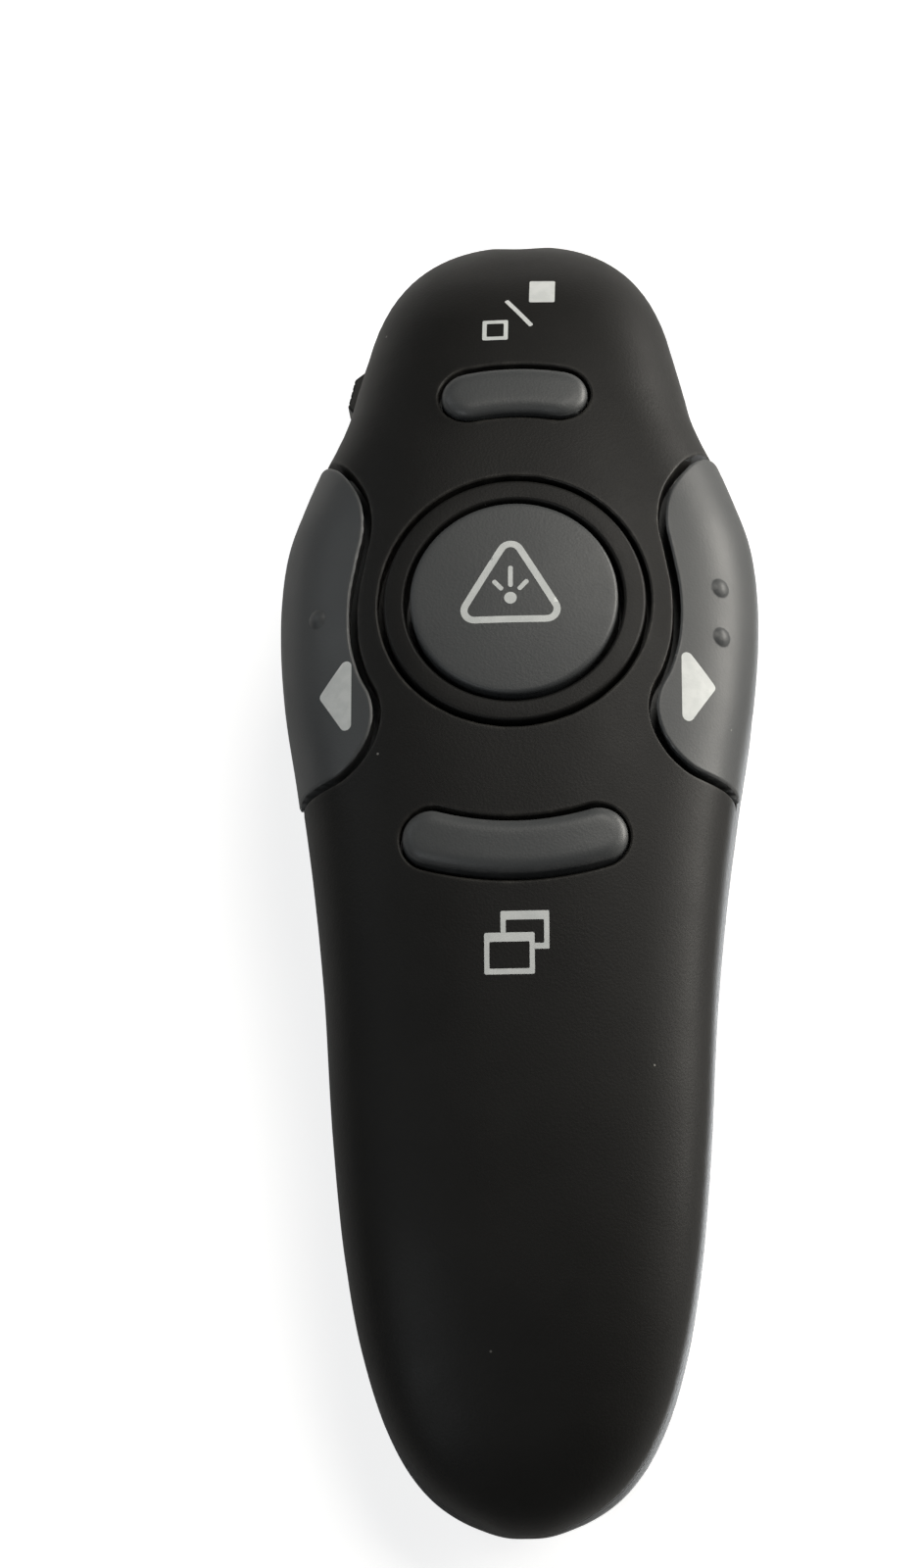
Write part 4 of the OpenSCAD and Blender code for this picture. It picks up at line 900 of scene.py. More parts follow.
def hull_shell():
    """Closed shell between the skin of the underside and its cavity."""
    outer, inner = keel_rows(0, 0), keel_rows(-WALL, WALL)
    m, n = outer.shape[:2]
    base = m * n
    faces = []
    for i in range(m - 1):
        for j in range(n - 1):
            a, c = i * n + j, (i + 1) * n + j
            faces += [[a, a + 1, c + 1, c][::-1], [base + a, base + a + 1, base + c + 1, base + c]]
        a, c, e, f = i * n, (i + 1) * n, i * n + n - 1, (i + 1) * n + n - 1
        faces += [[a, c, base + c, base + a][::-1], [e, base + e, base + f, f][::-1]]
    o = (m - 1) * n
    faces += [list(range(n)), list(range(base, base + n))[::-1],
              list(range(o, o + n))[::-1], list(range(base + o, base + o + n)),
              [0, n - 1, base + n - 1, base], [o, base + o, base + o + n - 1, o + n - 1]]
    return make_piece("lower_skin", np.vstack([outer.reshape(-1, 3), inner.reshape(-1, 3)]), faces)


lower_shell = hull_shell()

# %% What stands in the lower shell, and what is cut out of it
CELL_X, CELL_Z, BAY_R, BAY_X = 5.4, 7.1, 5.6, 11.0
BAY_BACK, BAY_FRONT = -40.4, 9.2
COVER_X, COVER_BACK, COVER_FRONT, COVER_CORNER, COVER_T = 12.3, -43.6, 11.95, 5.0, 1.6
HINGE_Y, HINGE_Z, HINGE_R, HINGE_X, HINGE_W = 12.75, 1.2, 0.5, 7.0, 4.0
FRAME_T, FRAME_EDGE = 3.3, 0.5
GRIP_W, GRIP_Y, GRIP_LEN, PLUG_W, PLUG_H, PLUG_LEN, PLUG_Z = 14.6, 16.2, 7.0, 12.0, 4.5, 12.0, 1.3
PLUG_END = GRIP_Y + GRIP_LEN + PLUG_LEN
SEAT_GAP, POCKET_WALL, POCKET_ROOF = 0.12, 1.2, 7.0
FRONT_SCREW, FRONT_SEAT = (11.6, 33.6), 8.0
REAR_SCREW, REAR_SEAT = (6.0, -49.2), 3.4
BOSS_R, WELL_R, SCREW_HOLE_R = 3.2, 2.2, 1.12
BOARD_Z = 14.2
RIB_PLACES, RIB_X, RIB_T, RIB_LOW = (47.8, 53.4), 3.8, 1.6, 0.9
COVER_GAP, COVER_FRONT_GAP, COVER_ROOM, HINGE_ROOM = 0.15, 0.35, 0.1, 0.06
TERMINAL_X, TERMINAL_DEPTH = 1.7, 0.5
NOTCH_X, NOTCH_Y, NOTCH_Z = 2.0, (1.6, 5.4), 3.4
CAVITY_TOP, WELL_MOUTH, POCKET_MOUTH, MERGE = 20.0, 0.25, 0.25, 0.01
SLOT_EDGE = 0.3
SIDES = (-1, 1)


def bay(grow, low):
    """Solids of the battery bay, grown from the room that the cells need."""
    length = BAY_FRONT - BAY_BACK + 2 * grow
    y0, y1 = BAY_BACK - grow, BAY_FRONT + grow
    return [rod(s * CELL_X, y0, CELL_Z, BAY_R + grow, length) for s in SIDES] + [
        block((-BAY_X - grow, y0, low), (BAY_X + grow, y1, CELL_Z)),
        block((-CELL_X, y0, CELL_Z - 1), (CELL_X, y1, CELL_Z + BAY_R / 2 + grow))]


def standing_parts():
    """What stands on the floor of the lower shell: frame, bay, pocket, screw bosses and ribs."""
    parts = [slab("frame", plan_box(-COVER_X - FRAME_EDGE, COVER_X + FRAME_EDGE, COVER_BACK - FRAME_EDGE,
                                    HINGE_Y + 1.2, COVER_CORNER + FRAME_EDGE), MERGE, FRAME_T)]
    parts += bay(POCKET_WALL, FRAME_T - 2 * MERGE)
    x = GRIP_W / 2 + POCKET_WALL
    parts.append(block((-x, GRIP_Y - POCKET_WALL, MERGE),
                       (x, PLUG_END + POCKET_WALL + SEAT_GAP, POCKET_ROOF + POCKET_WALL)))
    for s in SIDES:
        parts.append(slab("boss", ring_of(s * FRONT_SCREW[0], FRONT_SCREW[1], BOSS_R), MERGE, BOARD_Z))
        parts.append(slab("boss", ring_of(s * REAR_SCREW[0], REAR_SCREW[1], BOSS_R), 0.5,
                          float(joint_z(np.array(REAR_SCREW[1]))) - 0.05))
    for y in RIB_PLACES:
        low = float(joint_z(np.array(y)) - keel_h(np.array(y))) + WALL / 2
        parts.append(block((-RIB_X, y, max(low, RIB_LOW)), (RIB_X, y + RIB_T, LASER_Z)))
    return parts


def side_openings(s):
    """Hinge slot, terminal slot, screw holes and finger notch on one side of the underside."""
    x0, x1 = s * HINGE_X - HINGE_W / 2 - RUN_GAP, s * HINGE_X + HINGE_W / 2 + RUN_GAP
    cuts = [block((x0, COVER_FRONT, HINGE_Z - HINGE_R - HINGE_ROOM), (x1, HINGE_Y, COVER_T + COVER_ROOM)),
            across(x0, x1 - x0, HINGE_Y, HINGE_Z, HINGE_R + HINGE_ROOM),
            block((s * CELL_X - TERMINAL_X, BAY_FRONT - TERMINAL_DEPTH, CELL_Z),
                  (s * CELL_X + TERMINAL_X, BAY_FRONT, BOARD_Z))]
    for (x, y), seat in ((FRONT_SCREW, FRONT_SEAT), (REAR_SCREW, REAR_SEAT)):
        cuts.append(slab("well", ring_of(s * x, y, WELL_R), 0, seat, mouth=WELL_MOUTH))
        cuts.append(slab("hole", ring_of(s * x, y, SCREW_HOLE_R, 32), 1, CAVITY_TOP))
    x = s * (GRIP_W / 2 - 0.5)
    notch = plan_box(x - NOTCH_X, x + NOTCH_X, GRIP_Y + NOTCH_Y[0], GRIP_Y + NOTCH_Y[1], 0.8)
    return cuts + [slab("notch", notch, 0, NOTCH_Z, mouth=0.4)]


def openings_below():
    """All that is open in the lower shell, as solids to cut with."""
    x = COVER_X + COVER_GAP
    recess = plan_box(-x, x, COVER_BACK - COVER_GAP, COVER_FRONT + COVER_FRONT_GAP, COVER_CORNER + COVER_GAP)
    cuts = bay(0, -1) + [slab("recess", recess, 0, COVER_T + COVER_ROOM, mouth=0.3)]
    for s in SIDES:
        cuts += side_openings(s)
    x = GRIP_W / 2 + SEAT_GAP
    grip = plan_box(-x, x, GRIP_Y - SEAT_GAP, GRIP_Y + GRIP_LEN + SEAT_GAP, 0.3)
    cuts.append(slab("grip", grip, 0, POCKET_ROOF, mouth=POCKET_MOUTH))
    x = PLUG_W / 2 + SEAT_GAP
    cuts.append(slab("plug", plan_box(-x, x, GRIP_Y + 2, PLUG_END + SEAT_GAP, 0.3), 0, PLUG_Z + PLUG_H + 0.2,
                     mouth=POCKET_MOUTH))
    cuts.append(rod(0, BORE_BACK, LASER_Z, BORE_R, 20))
    cuts.append(block((-20, SLOT_Y[0], SLOT_Z[0]), (-SLOT_INNER, SLOT_Y[1], SLOT_Z[1]), edge=SLOT_EDGE))
    return cuts


combine(lower_shell, ("UNION", standing_parts()), ("DIFFERENCE", openings_below()))
print("lower shell", len(lower_shell.data.polygons), "faces")

# %% [markdown]
# ## Battery cover, knob and laser window
# The cover is a plate with round corners that lies in its recess. Its outer edge is rounded, and
# five grooves, each shorter than the last, point the way it lifts. The knob's ridge slopes at both
# ends and is ribbed so that a nail can push it. The laser looks out through a small red window at
# the bottom of a black ring.

# %% Cover
COVER_BRIM, HINGE_ARM = 0.3, 0.35
SNAP_X, SNAP_REACH, SNAP_Z = 3.0, 0.1, (0.5, 1.1)
GROOVES, GROOVE_X, GROOVE_SHRINK, GROOVE_START, GROOVE_PITCH = 5, 6.0, 0.6, 4.0, 1.6
GROOVE_W, GROOVE_DEPTH = 0.8, 0.35


def battery_cover():
    """Plate with its snap, its two hinge nubs on arms, and its grooves."""
    plate = slab("cover_plate", plan_box(-COVER_X, COVER_X, COVER_BACK, COVER_FRONT, COVER_CORNER),
                 0, COVER_T, brim=COVER_BRIM)
    added = [block((-SNAP_X, COVER_BACK - SNAP_REACH, SNAP_Z[0]), (SNAP_X, COVER_BACK + 1, SNAP_Z[1]))]
    for s in SIDES:
        x0 = s * HINGE_X - HINGE_W / 2
        added.append(across(x0, HINGE_W, HINGE_Y, HINGE_Z, HINGE_R))
        added.append(block((x0, COVER_FRONT - 1, HINGE_Z - HINGE_ARM),
                           (x0 + HINGE_W, HINGE_Y, HINGE_Z + HINGE_ARM)))
    grooves = []
    for i in range(GROOVES):
        x, y = GROOVE_X - GROOVE_SHRINK * i, COVER_BACK + GROOVE_START + GROOVE_PITCH * i
        grooves.append(slab("groove", plan_box(-x, x, y, y + GROOVE_W, 0.38), 0, GROOVE_DEPTH, mouth=0.15))
    return combine(plate, ("UNION", added), ("DIFFERENCE", grooves))


# %% Knob
KNOB_TAPER, KNOB_DEPTH, KNOB_FLANGE_T = 0.9, 2.6, 0.6
KNOB_EDGE, KNOB_OUTSIDE = 0.22, 12.5
KNOB_RIBS, RIB_CUT, RIB_HALF_W = (-1.05, -0.35, 0.35, 1.05), 0.22, 0.14


def power_knob():
    """Ridge along the flank, sloped at both ends and cut into ribs, on a flange."""
    back = float(half_w(np.array(KNOB_Y))) - WALL - KNOB_DEPTH
    x_in, z, h = back + KNOB_FLANGE_T, KNOB_Z, KNOB_H
    ends = np.array([KNOB_NOSE, KNOB_NOSE - KNOB_TAPER, KNOB_TAIL + KNOB_TAPER, KNOB_TAIL])
    out = half_w(ends) + np.array([0, KNOB_REACH, KNOB_REACH, 0])
    plan = [(-x_in, KNOB_NOSE), *zip(-out, ends), (-x_in, KNOB_TAIL)]
    mesh = bmesh.new()
    low = [mesh.verts.new(Vector((px, py, z - h / 2)) * MM) for px, py in plan]
    high = [mesh.verts.new(Vector((px, py, z + h / 2)) * MM) for px, py in plan]
    mesh.faces.new(low)
    mesh.faces.new(high[::-1])
    for i, k in closed_pairs(len(plan)):
        mesh.faces.new((low[i], high[i], high[k], low[k]))
    bmesh.ops.recalc_face_normals(mesh, faces=mesh.faces)
    outer = [edge for edge in mesh.edges if any(v.co.x < -KNOB_OUTSIDE * MM for v in edge.verts)]
    round_off(mesh, outer, KNOB_EDGE)
    ridge = finished("knob_ridge", mesh)
    flange = block((-x_in, KNOB_TAIL - KNOB_TRAVEL - KNOB_LAP, z - h / 2 - KNOB_LAP),
                   (-back, KNOB_NOSE + KNOB_LAP, z + h / 2 + KNOB_LAP))
    ribs = []
    for y in KNOB_Y + np.array(KNOB_RIBS):
        x = float(half_w(y)) + KNOB_REACH - RIB_CUT
        ribs.append(block((-x - 2, y - RIB_HALF_W, z - h), (-x, y + RIB_HALF_W, z + h)))
    return combine(ridge, ("UNION", [flange]), ("DIFFERENCE", ribs))


# %% Laser window's ring
APERTURE_R, APERTURE_BACK, APERTURE_FRONT = 3.05, 57.0, 59.5
MOUTH_R, WINDOW_SEAT, HOLE_R = 2.2, 57.9, 1.6


def turned(name, profile, count=96):
    """Solid of revolution about the laser's axis. The profile is a closed list of (radius, y)."""
    turn = np.arange(count) * 2 * math.pi / count
    profile = np.array(profile)
    n = len(profile)
    points = np.stack([profile[:, :1] * np.cos(turn), profile[:, 1:] + 0 * turn,
                       LASER_Z + profile[:, :1] * np.sin(turn)], -1).reshape(-1, 3)
    faces = [[i * count + k, j * count + k, j * count + m, i * count + m]
             for i, j in closed_pairs(n) for k, m in closed_pairs(count)]
    return make_piece(name, points, faces)


def aperture_ring():
    """Ring in the nose with its front edges rounded, and a seat for the window behind it."""
    front = APERTURE_FRONT
    rim = [(APERTURE_R, front - 0.2), (APERTURE_R - 0.06, front - 0.06), (APERTURE_R - 0.2, front)]
    mouth = [(MOUTH_R + 0.2, front), (MOUTH_R + 0.06, front - 0.06), (MOUTH_R, front - 0.2)]
    return turned("aperture", [(APERTURE_R, APERTURE_BACK), *rim, *mouth, (MOUTH_R, WINDOW_SEAT),
                               (HOLE_R, WINDOW_SEAT), (HOLE_R, APERTURE_BACK)])


cover = battery_cover()
knob = power_knob()
aperture = aperture_ring()
print("cover", len(cover.data.polygons), "knob", len(knob.data.polygons))

# %% [markdown]
# ## Receiver
# The receiver sits in its pocket on the underside with its plug to the nose. Its grip is a soft
# block with three grooves. The plug is a folded steel sleeve, so its corners are rounded along
# its length and its two pairs of windows go right through.

# %% Receiver
GRIP_LOW, GRIP_HIGH, GRIP_EDGE = 0.3, 6.8, 0.6
GRIP_GROOVES, GRIP_GROOVE_X, GRIP_GROOVE_START, GRIP_GROOVE_PITCH = 3, 4.5, 1.2, 1.4
GRIP_GROOVE_W, GRIP_GROOVE_DEPTH = 0.6, 0.3
PLUG_REAR, PLUG_FIT, PLUG_CORNER, SLEEVE_T = 19.2, 0.02, 0.6, 0.3
WINDOW_X, WINDOW_W, WINDOW_Y = 2.9, 2.2, (29.2, 31.6)


def usb_housing():
    """Grip with soft edges, its grooves, and the room for the plug's rear."""
    front = GRIP_Y + GRIP_LEN
    grip = block((-GRIP_W / 2, GRIP_Y, GRIP_LOW), (GRIP_W / 2, front, GRIP_HIGH), edge=GRIP_EDGE)
    x = PLUG_W / 2 + PLUG_FIT
    cuts = [block((-x, PLUG_REAR - PLUG_FIT, PLUG_Z - PLUG_FIT), (x, front + 1, PLUG_Z + PLUG_H + PLUG_FIT))]
    for i in range(GRIP_GROOVES):
        y = GRIP_Y + GRIP_GROOVE_START + GRIP_GROOVE_PITCH * i
        cuts.append(slab("groove", plan_box(-GRIP_GROOVE_X, GRIP_GROOVE_X, y, y + GRIP_GROOVE_W, 0.28),
                         -1, GRIP_LOW + GRIP_GROOVE_DEPTH))
    return combine(grip, ("DIFFERENCE", cuts))


def sleeve(x, z, y0, y1, corner):
    """Rounded bar along +Y with a given half width and half height, centred on the plug."""
    loop = plan_box(-x, x, -z, z, corner)
    n = len(loop)
    end = np.column_stack([loop[:, 0], np.full(n, y0), loop[:, 1] + PLUG_Z + PLUG_H / 2])
    faces = [list(range(n)), list(range(n, 2 * n))[::-1]]
    faces += [[i, n + i, n + k, k] for i, k in closed_pairs(n)]
    return make_piece("sleeve", np.vstack([end, end + [0, y1 - y0, 0]]), faces)


def usb_shell():
    """Hollow steel sleeve with two windows right through it."""
    outer = sleeve(PLUG_W / 2, PLUG_H / 2, PLUG_REAR, PLUG_END, PLUG_CORNER)
    cuts = [sleeve(PLUG_W / 2 - SLEEVE_T, PLUG_H / 2 - SLEEVE_T, PLUG_REAR - 1, PLUG_END + 1,
                   PLUG_CORNER - SLEEVE_T)]
    for s in SIDES:
        x0, x1 = s * WINDOW_X - WINDOW_W / 2, s * WINDOW_X + WINDOW_W / 2
        cuts.append(slab("window", plan_box(x0, x1, *WINDOW_Y, 0.25), 0, PLUG_Z + PLUG_H + 2.2))
    return combine(outer, ("DIFFERENCE", cuts))


housing, plug = usb_housing(), usb_shell()
print("housing", len(housing.data.polygons), "plug", len(plug.data.polygons))

# %% [markdown]
# ## Trees of nodes
# Four rules are written as Geometry Nodes trees. One sweeps the ring's section round the button
# and lets it follow the crown, one lays a flat print onto whatever carries it, one sets screws
# down at their places, and one winds the springs. Each tree has named inputs, ends in one real
# mesh, and is taken off again, so what stays is plain geometry.

# %% Helpers for trees
def new_tree(name, sockets):
    """Empty geometry tree with a geometry input, the named inputs and one output."""
    tree = bpy.data.node_groups.new(name, "GeometryNodeTree")
    tree.is_modifier = True
    tree.interface.new_socket("Geometry", in_out="INPUT", socket_type="NodeSocketGeometry")
    for label, kind, value in sockets:
        made = tree.interface.new_socket(label, in_out="INPUT", socket_type="NodeSocket" + kind)
        if value is not None:
            made.default_value = value
    tree.interface.new_socket("Geometry", in_out="OUTPUT", socket_type="NodeSocketGeometry")
    return tree, tree.nodes.new("NodeGroupInput"), tree.nodes.new("NodeGroupOutput")


def feed(tree, socket, value):
    """Link a socket to another one, or give it a plain value."""
    if isinstance(value, bpy.types.NodeSocket):
        tree.links.new(value, socket)
    else:
        socket.default_value = value


def add(tree, kind, settings=None, **links):
    """Node with settings. Links name its input sockets, with spaces as underscores, or number
    them after an underscore."""
    node = tree.nodes.new(kind)
    for key, value in (settings or {}).items():
        setattr(node, key, value)
    for key, value in links.items():
        feed(tree, node.inputs[int(key[1:]) if key[0] == "_" else key.replace("_", " ")], value)
    return node


def run_tree(tree, carrier, name, **values):
    """The plain mesh that a tree makes from a carrier object, as a new object."""
    step = carrier.modifiers.new("tree", "NODES")
    step.node_group = tree
    for item in tree.interface.items_tree:
        key = item.name.replace(" ", "_")
        if item.in_out == "INPUT" and key in values:
            step[item.identifier] = values[key]
    carrier.update_tag()
    mesh = evaluated(carrier)
    bpy.data.objects.remove(carrier)
    mesh.name = name
    return in_scene(name, mesh)


def end_tree(tree, source, geometry, output):
    """Last two nodes of every tree: one real mesh with its material."""
    real = add(tree, "GeometryNodeRealizeInstances", Geometry=geometry)
    paint = add(tree, "GeometryNodeSetMaterial", Geometry=real.outputs[0],
                Material=source.outputs["Material"])
    tree.links.new(paint.outputs[0], output.inputs[0])


def math_node(tree, operation, *values):
    """Result of a sum or product of values or sockets."""
    node = tree.nodes.new("ShaderNodeMath")
    node.operation = operation
    for socket, value in zip(node.inputs, values):
        feed(tree, socket, value)
    return node.outputs[0]


RAY_FROM, RAY_REACH = 0.05, 0.1


def ray_down(tree, target, settings=None):
    """Ray from high above each point straight down onto a target."""
    at = add(tree, "GeometryNodeInputPosition")
    split = add(tree, "ShaderNodeSeparateXYZ", _0=at.outputs[0])
    start = add(tree, "ShaderNodeCombineXYZ", X=split.outputs["X"], Y=split.outputs["Y"], Z=RAY_FROM)
    return add(tree, "GeometryNodeRaycast", settings, Target_Geometry=target,
               Source_Position=start.outputs[0], Ray_Direction=(0.0, 0.0, -1.0), Ray_Length=RAY_REACH)


def carrier_at(places=()):
    """Object with nothing but points, for a tree to start from."""
    return in_scene("places", mesh_from("places", places))


# %% [markdown]
# ## Ring round the button
# The ring's top lies just above the crown all the way round, so it dips to the left and right as
# the body does. The tree sweeps a rounded section round a circle, and a ray sent
# down from each point onto the crown says how far the point has to move. A turned ring with a
# level top would stand out of the crown at its sides.

# %% Ring tree
GUIDE_REACH = 14.5


def crown_guide():
    """Patch of the bare crown round the button, for rays to hit."""
    st, faces = fill([mapped(circle(GUIDE_REACH))], 0.8)
    return in_scene("crown_guide", mesh_from("crown_guide", on_skin(st), faces))


def ring_tree():
    """Rounded section swept round the button, each point moved up or down to follow the crown."""
    tree, source, output = new_tree("ring", [
        ("Inner Radius", "Float", 0.0097), ("Outer Radius", "Float", 0.01165), ("Height", "Float", 0.002),
        ("Edge", "Float", 0.0003), ("Above Crown", "Float", 0.0001), ("Level", "Float", 0.026),
        ("Centre", "Vector", None), ("Crown", "Object", None), ("Material", "Material", None)])
    value = source.outputs
    both_radii = math_node(tree, "ADD", value["Inner Radius"], value["Outer Radius"])
    middle = math_node(tree, "MULTIPLY", both_radii, 0.5)
    width = math_node(tree, "SUBTRACT", value["Outer Radius"], value["Inner Radius"])
    path = add(tree, "GeometryNodeCurvePrimitiveCircle", {"mode": "RADIUS"}, Resolution=256, Radius=middle)
    box = add(tree, "GeometryNodeCurvePrimitiveQuadrilateral", Width=width, Height=value["Height"])
    soft = add(tree, "GeometryNodeFilletCurve", {"mode": "POLY"}, Curve=box.outputs[0], Count=6,
               Radius=value["Edge"])
    sweep = add(tree, "GeometryNodeCurveToMesh", Curve=path.outputs[0], Profile_Curve=soft.outputs[0])
    place = add(tree, "GeometryNodeTransform", Geometry=sweep.outputs[0], Translation=value["Centre"])
    crown = add(tree, "GeometryNodeObjectInfo", {"transform_space": "RELATIVE"}, Object=value["Crown"])
    ray = ray_down(tree, crown.outputs["Geometry"])
    hit = add(tree, "ShaderNodeSeparateXYZ", _0=ray.outputs["Hit Position"])
    half = math_node(tree, "MULTIPLY", value["Height"], 0.5)
    top = math_node(tree, "ADD", value["Level"], half)
    rise = math_node(tree, "ADD", math_node(tree, "SUBTRACT", hit.outputs["Z"], top), value["Above Crown"])
    lift = add(tree, "ShaderNodeCombineXYZ", X=0.0, Y=0.0, Z=rise)
    follow = add(tree, "GeometryNodeSetPosition", Geometry=place.outputs[0], Offset=lift.outputs[0])
    end_tree(tree, source, follow.outputs[0], output)
    return tree


# %% Ring
BUTTON_R = 9.2
RING_IN, RING_OUT, RING_FLANGE = BUTTON_R + KEY_GAP, 11.65, 12.95
RING_LEVEL, RING_H, RING_EDGE, RING_PROUD, TUBE_TOP = 26.0, 2.6, 0.32, 0.08, 24.2
RING_LOW = float(crown_z(RING_FLANGE, np.array(BUTTON_Y), -WALL)) - RUN_GAP - LIP_T


def bezel_ring(guide):
    """The swept top of the ring, and below it a tube on a flange."""
    top = run_tree(ring_tree(), carrier_at(), "ring_top", Inner_Radius=RING_IN * MM,
                   Outer_Radius=RING_OUT * MM, Height=RING_H * MM, Edge=RING_EDGE * MM,
                   Above_Crown=RING_PROUD * MM, Level=RING_LEVEL * MM,
                   Centre=(0, BUTTON_Y * MM, RING_LEVEL * MM), Crown=guide, Material=plain)
    flange = lathe("ring_flange", [(0, RING_LOW + LIP_T), (RING_FLANGE, RING_LOW + LIP_T),
                                   (RING_FLANGE, RING_LOW), (0, RING_LOW)], 0, BUTTON_Y, 96)
    tube = slab("ring_tube", ring_of(0, BUTTON_Y, RING_OUT, 96), RING_LOW, TUBE_TOP)
    bore = slab("ring_bore", ring_of(0, BUTTON_Y, RING_IN, 96), RING_LOW - 2, BODY_HEIGHT)
    combine(flange, ("UNION", [tube]), ("DIFFERENCE", [bore]))
    return soften(join([top, flange], "ring"))


plain = bpy.data.materials.new("plain")
guide = crown_guide()
ring = bezel_ring(guide)
print("ring", len(ring.data.polygons))

# %% [markdown]
# ## Round button
# The button is a shallow dome over a skirt, with a flange that keeps it under the ring. The dome
# meets the skirt in a quarter round that catches a thin line of light.

# %% Button
BUTTON_TOP, DOME, BUTTON_EDGE = BODY_HEIGHT, 0.45, 0.4
BUTTON_FLANGE, BUTTON_BORE, BUTTON_ROOF = 10.4, 7.9, 25.25
BUTTON_POST_R, BUTTON_POST_LOW = 1.7, 21.0


def button_z(r):
    """Height of the button's top at a distance from its centre."""
    share = 1 - r / BUTTON_R
    level = BUTTON_TOP - DOME + DOME * (1 - (1 - share) ** 2)
    return level - rounding(BUTTON_R - r, BUTTON_EDGE)


def round_button():
    """Dome, skirt, flange and post in one turned solid."""
    r = np.concatenate([np.linspace(0, BUTTON_R - BUTTON_EDGE, 24),
                        BUTTON_R - BUTTON_EDGE * (1 - np.sin(np.linspace(0, math.pi / 2, 9)[1:]))])
    top = [(float(a), float(button_z(a))) for a in r]
    under = RING_LOW - RUN_GAP
    profile = top + [(BUTTON_R, under), (BUTTON_FLANGE, under), (BUTTON_FLANGE, under - LIP_T),
                     (BUTTON_BORE, under - LIP_T), (BUTTON_BORE, BUTTON_ROOF), (BUTTON_POST_R, BUTTON_ROOF),
                     (BUTTON_POST_R, BUTTON_POST_LOW), (0, BUTTON_POST_LOW)]
    return lathe("button", profile, 0, BUTTON_Y, 144)


button = round_button()
print("button", len(button.data.polygons), "edge at", round(float(button_z(BUTTON_R)), 2))

# %% [markdown]
# ## Printed marks
# A print is a film of ink with an edge of its own. Its outline is drawn flat and filled with small
# triangles. The tree drops every point onto the piece that carries it, along with the surface's
# own direction, and thickens the film there, so that it bends with a key or a dome.

# %% Print tree
def print_tree():
    """Flat outline dropped onto its carrier, sunk a little and thickened outward."""
    tree, source, output = new_tree("print", [
        ("Carrier", "Object", None), ("Thickness", "Float", 1.5e-05), ("Sink", "Float", 4e-05),
        ("Material", "Material", None)])
    value = source.outputs
    carrier = add(tree, "GeometryNodeObjectInfo", {"transform_space": "RELATIVE"}, Object=value["Carrier"])
    hit = ray_down(tree, carrier.outputs["Geometry"], {"data_type": "FLOAT_VECTOR"}).outputs
    down = math_node(tree, "MULTIPLY", value["Sink"], -1.0)
    sunk = add(tree, "ShaderNodeVectorMath", {"operation": "SCALE"}, _0=hit["Hit Normal"], Scale=down)
    base = add(tree, "ShaderNodeVectorMath", {"operation": "ADD"}, _0=hit["Hit Position"], _1=sunk.outputs[0])
    keep = add(tree, "GeometryNodeStoreNamedAttribute", {"data_type": "FLOAT_VECTOR"},
               Geometry=value["Geometry"], Name="up", Value=hit["Hit Normal"])
    low = add(tree, "GeometryNodeSetPosition", Geometry=keep.outputs[0], Position=base.outputs[0])
    up = add(tree, "GeometryNodeInputNamedAttribute", {"data_type": "FLOAT_VECTOR"}, Name="up")
    film = math_node(tree, "ADD", value["Sink"], value["Thickness"])
    grow = add(tree, "GeometryNodeExtrudeMesh", {"mode": "FACES"}, Mesh=low.outputs[0], Offset=up.outputs[0],
               Offset_Scale=film, Individual=False)
    flip = add(tree, "GeometryNodeFlipFaces", Mesh=low.outputs[0])
    both = add(tree, "GeometryNodeJoinGeometry")
    tree.links.new(flip.outputs[0], both.inputs[0])
    tree.links.new(grow.outputs[0], both.inputs[0])
    weld = add(tree, "GeometryNodeMergeByDistance", Geometry=both.outputs[0], Distance=1e-7)
    bare = add(tree, "GeometryNodeRemoveAttribute", Geometry=weld.outputs[0], Name="up")
    end_tree(tree, source, bare.outputs[0], output)
    return tree


PRINT_TREE = print_tree()
PRINT_FROM, PRINT_FINE, STROKE = 30.0, 0.35, 0.42


def print_mark(name, areas, carrier):
    """A print on a carrier. Each area is a list of loops: its outline, and the holes in it."""
    points, faces = np.zeros((0, 2)), []
    for loops in areas:
        verts, triangles = fill([anticlockwise(loop) for loop in loops], PRINT_FINE)
        faces += [[i + len(points) for i in triangle] for triangle in triangles]
        points = np.vstack([points, verts])
    flat = make_piece(name + "_flat", flat3(points) + [0, 0, PRINT_FROM], faces)
    return soften(run_tree(PRINT_TREE, flat, name, Carrier=carrier, Material=plain), 50)


def rounded_loop(corners, radius, step=0.12):
    """Polygon with every corner turned on an arc, as a plan loop."""
    corners = np.array(corners, float)
    path = []
    for before, corner, after in zip(np.roll(corners, 1, 0), corners, np.roll(corners, -1, 0)):
        a, b = ((p - corner) / np.linalg.norm(p - corner) for p in (before, after))
        half = math.acos(np.clip(a @ b, -1, 1)) / 2
        centre = corner + (a + b) / np.linalg.norm(a + b) * radius / math.sin(half)
        start, end = (corner + v * radius / math.tan(half) - centre for v in (a, b))
        first, last = (math.atan2(v[1], v[0]) for v in (start, end))
        turn = first + np.linspace(0, (last - first + math.pi) % (2 * math.pi) - math.pi, 9)
        path.append(centre + radius * np.stack([np.cos(turn), np.sin(turn)], 1))
    return resampled(np.vstack(path), step, True)


def bar(a, b, radius=0.08):
    """Straight stroke from a to b."""
    a, b = np.array(a, float), np.array(b, float)
    along = (b - a) / np.linalg.norm(b - a)
    side = np.array([-along[1], along[0]]) * STROKE / 2
    return rounded_loop([a - side, b - side, b + side, a + side], radius)


def box_loop(x0, x1, y0, y1, radius):
    """Rectangle with turned corners."""
    return rounded_loop([(x0, y0), (x1, y0), (x1, y1), (x0, y1)], radius)


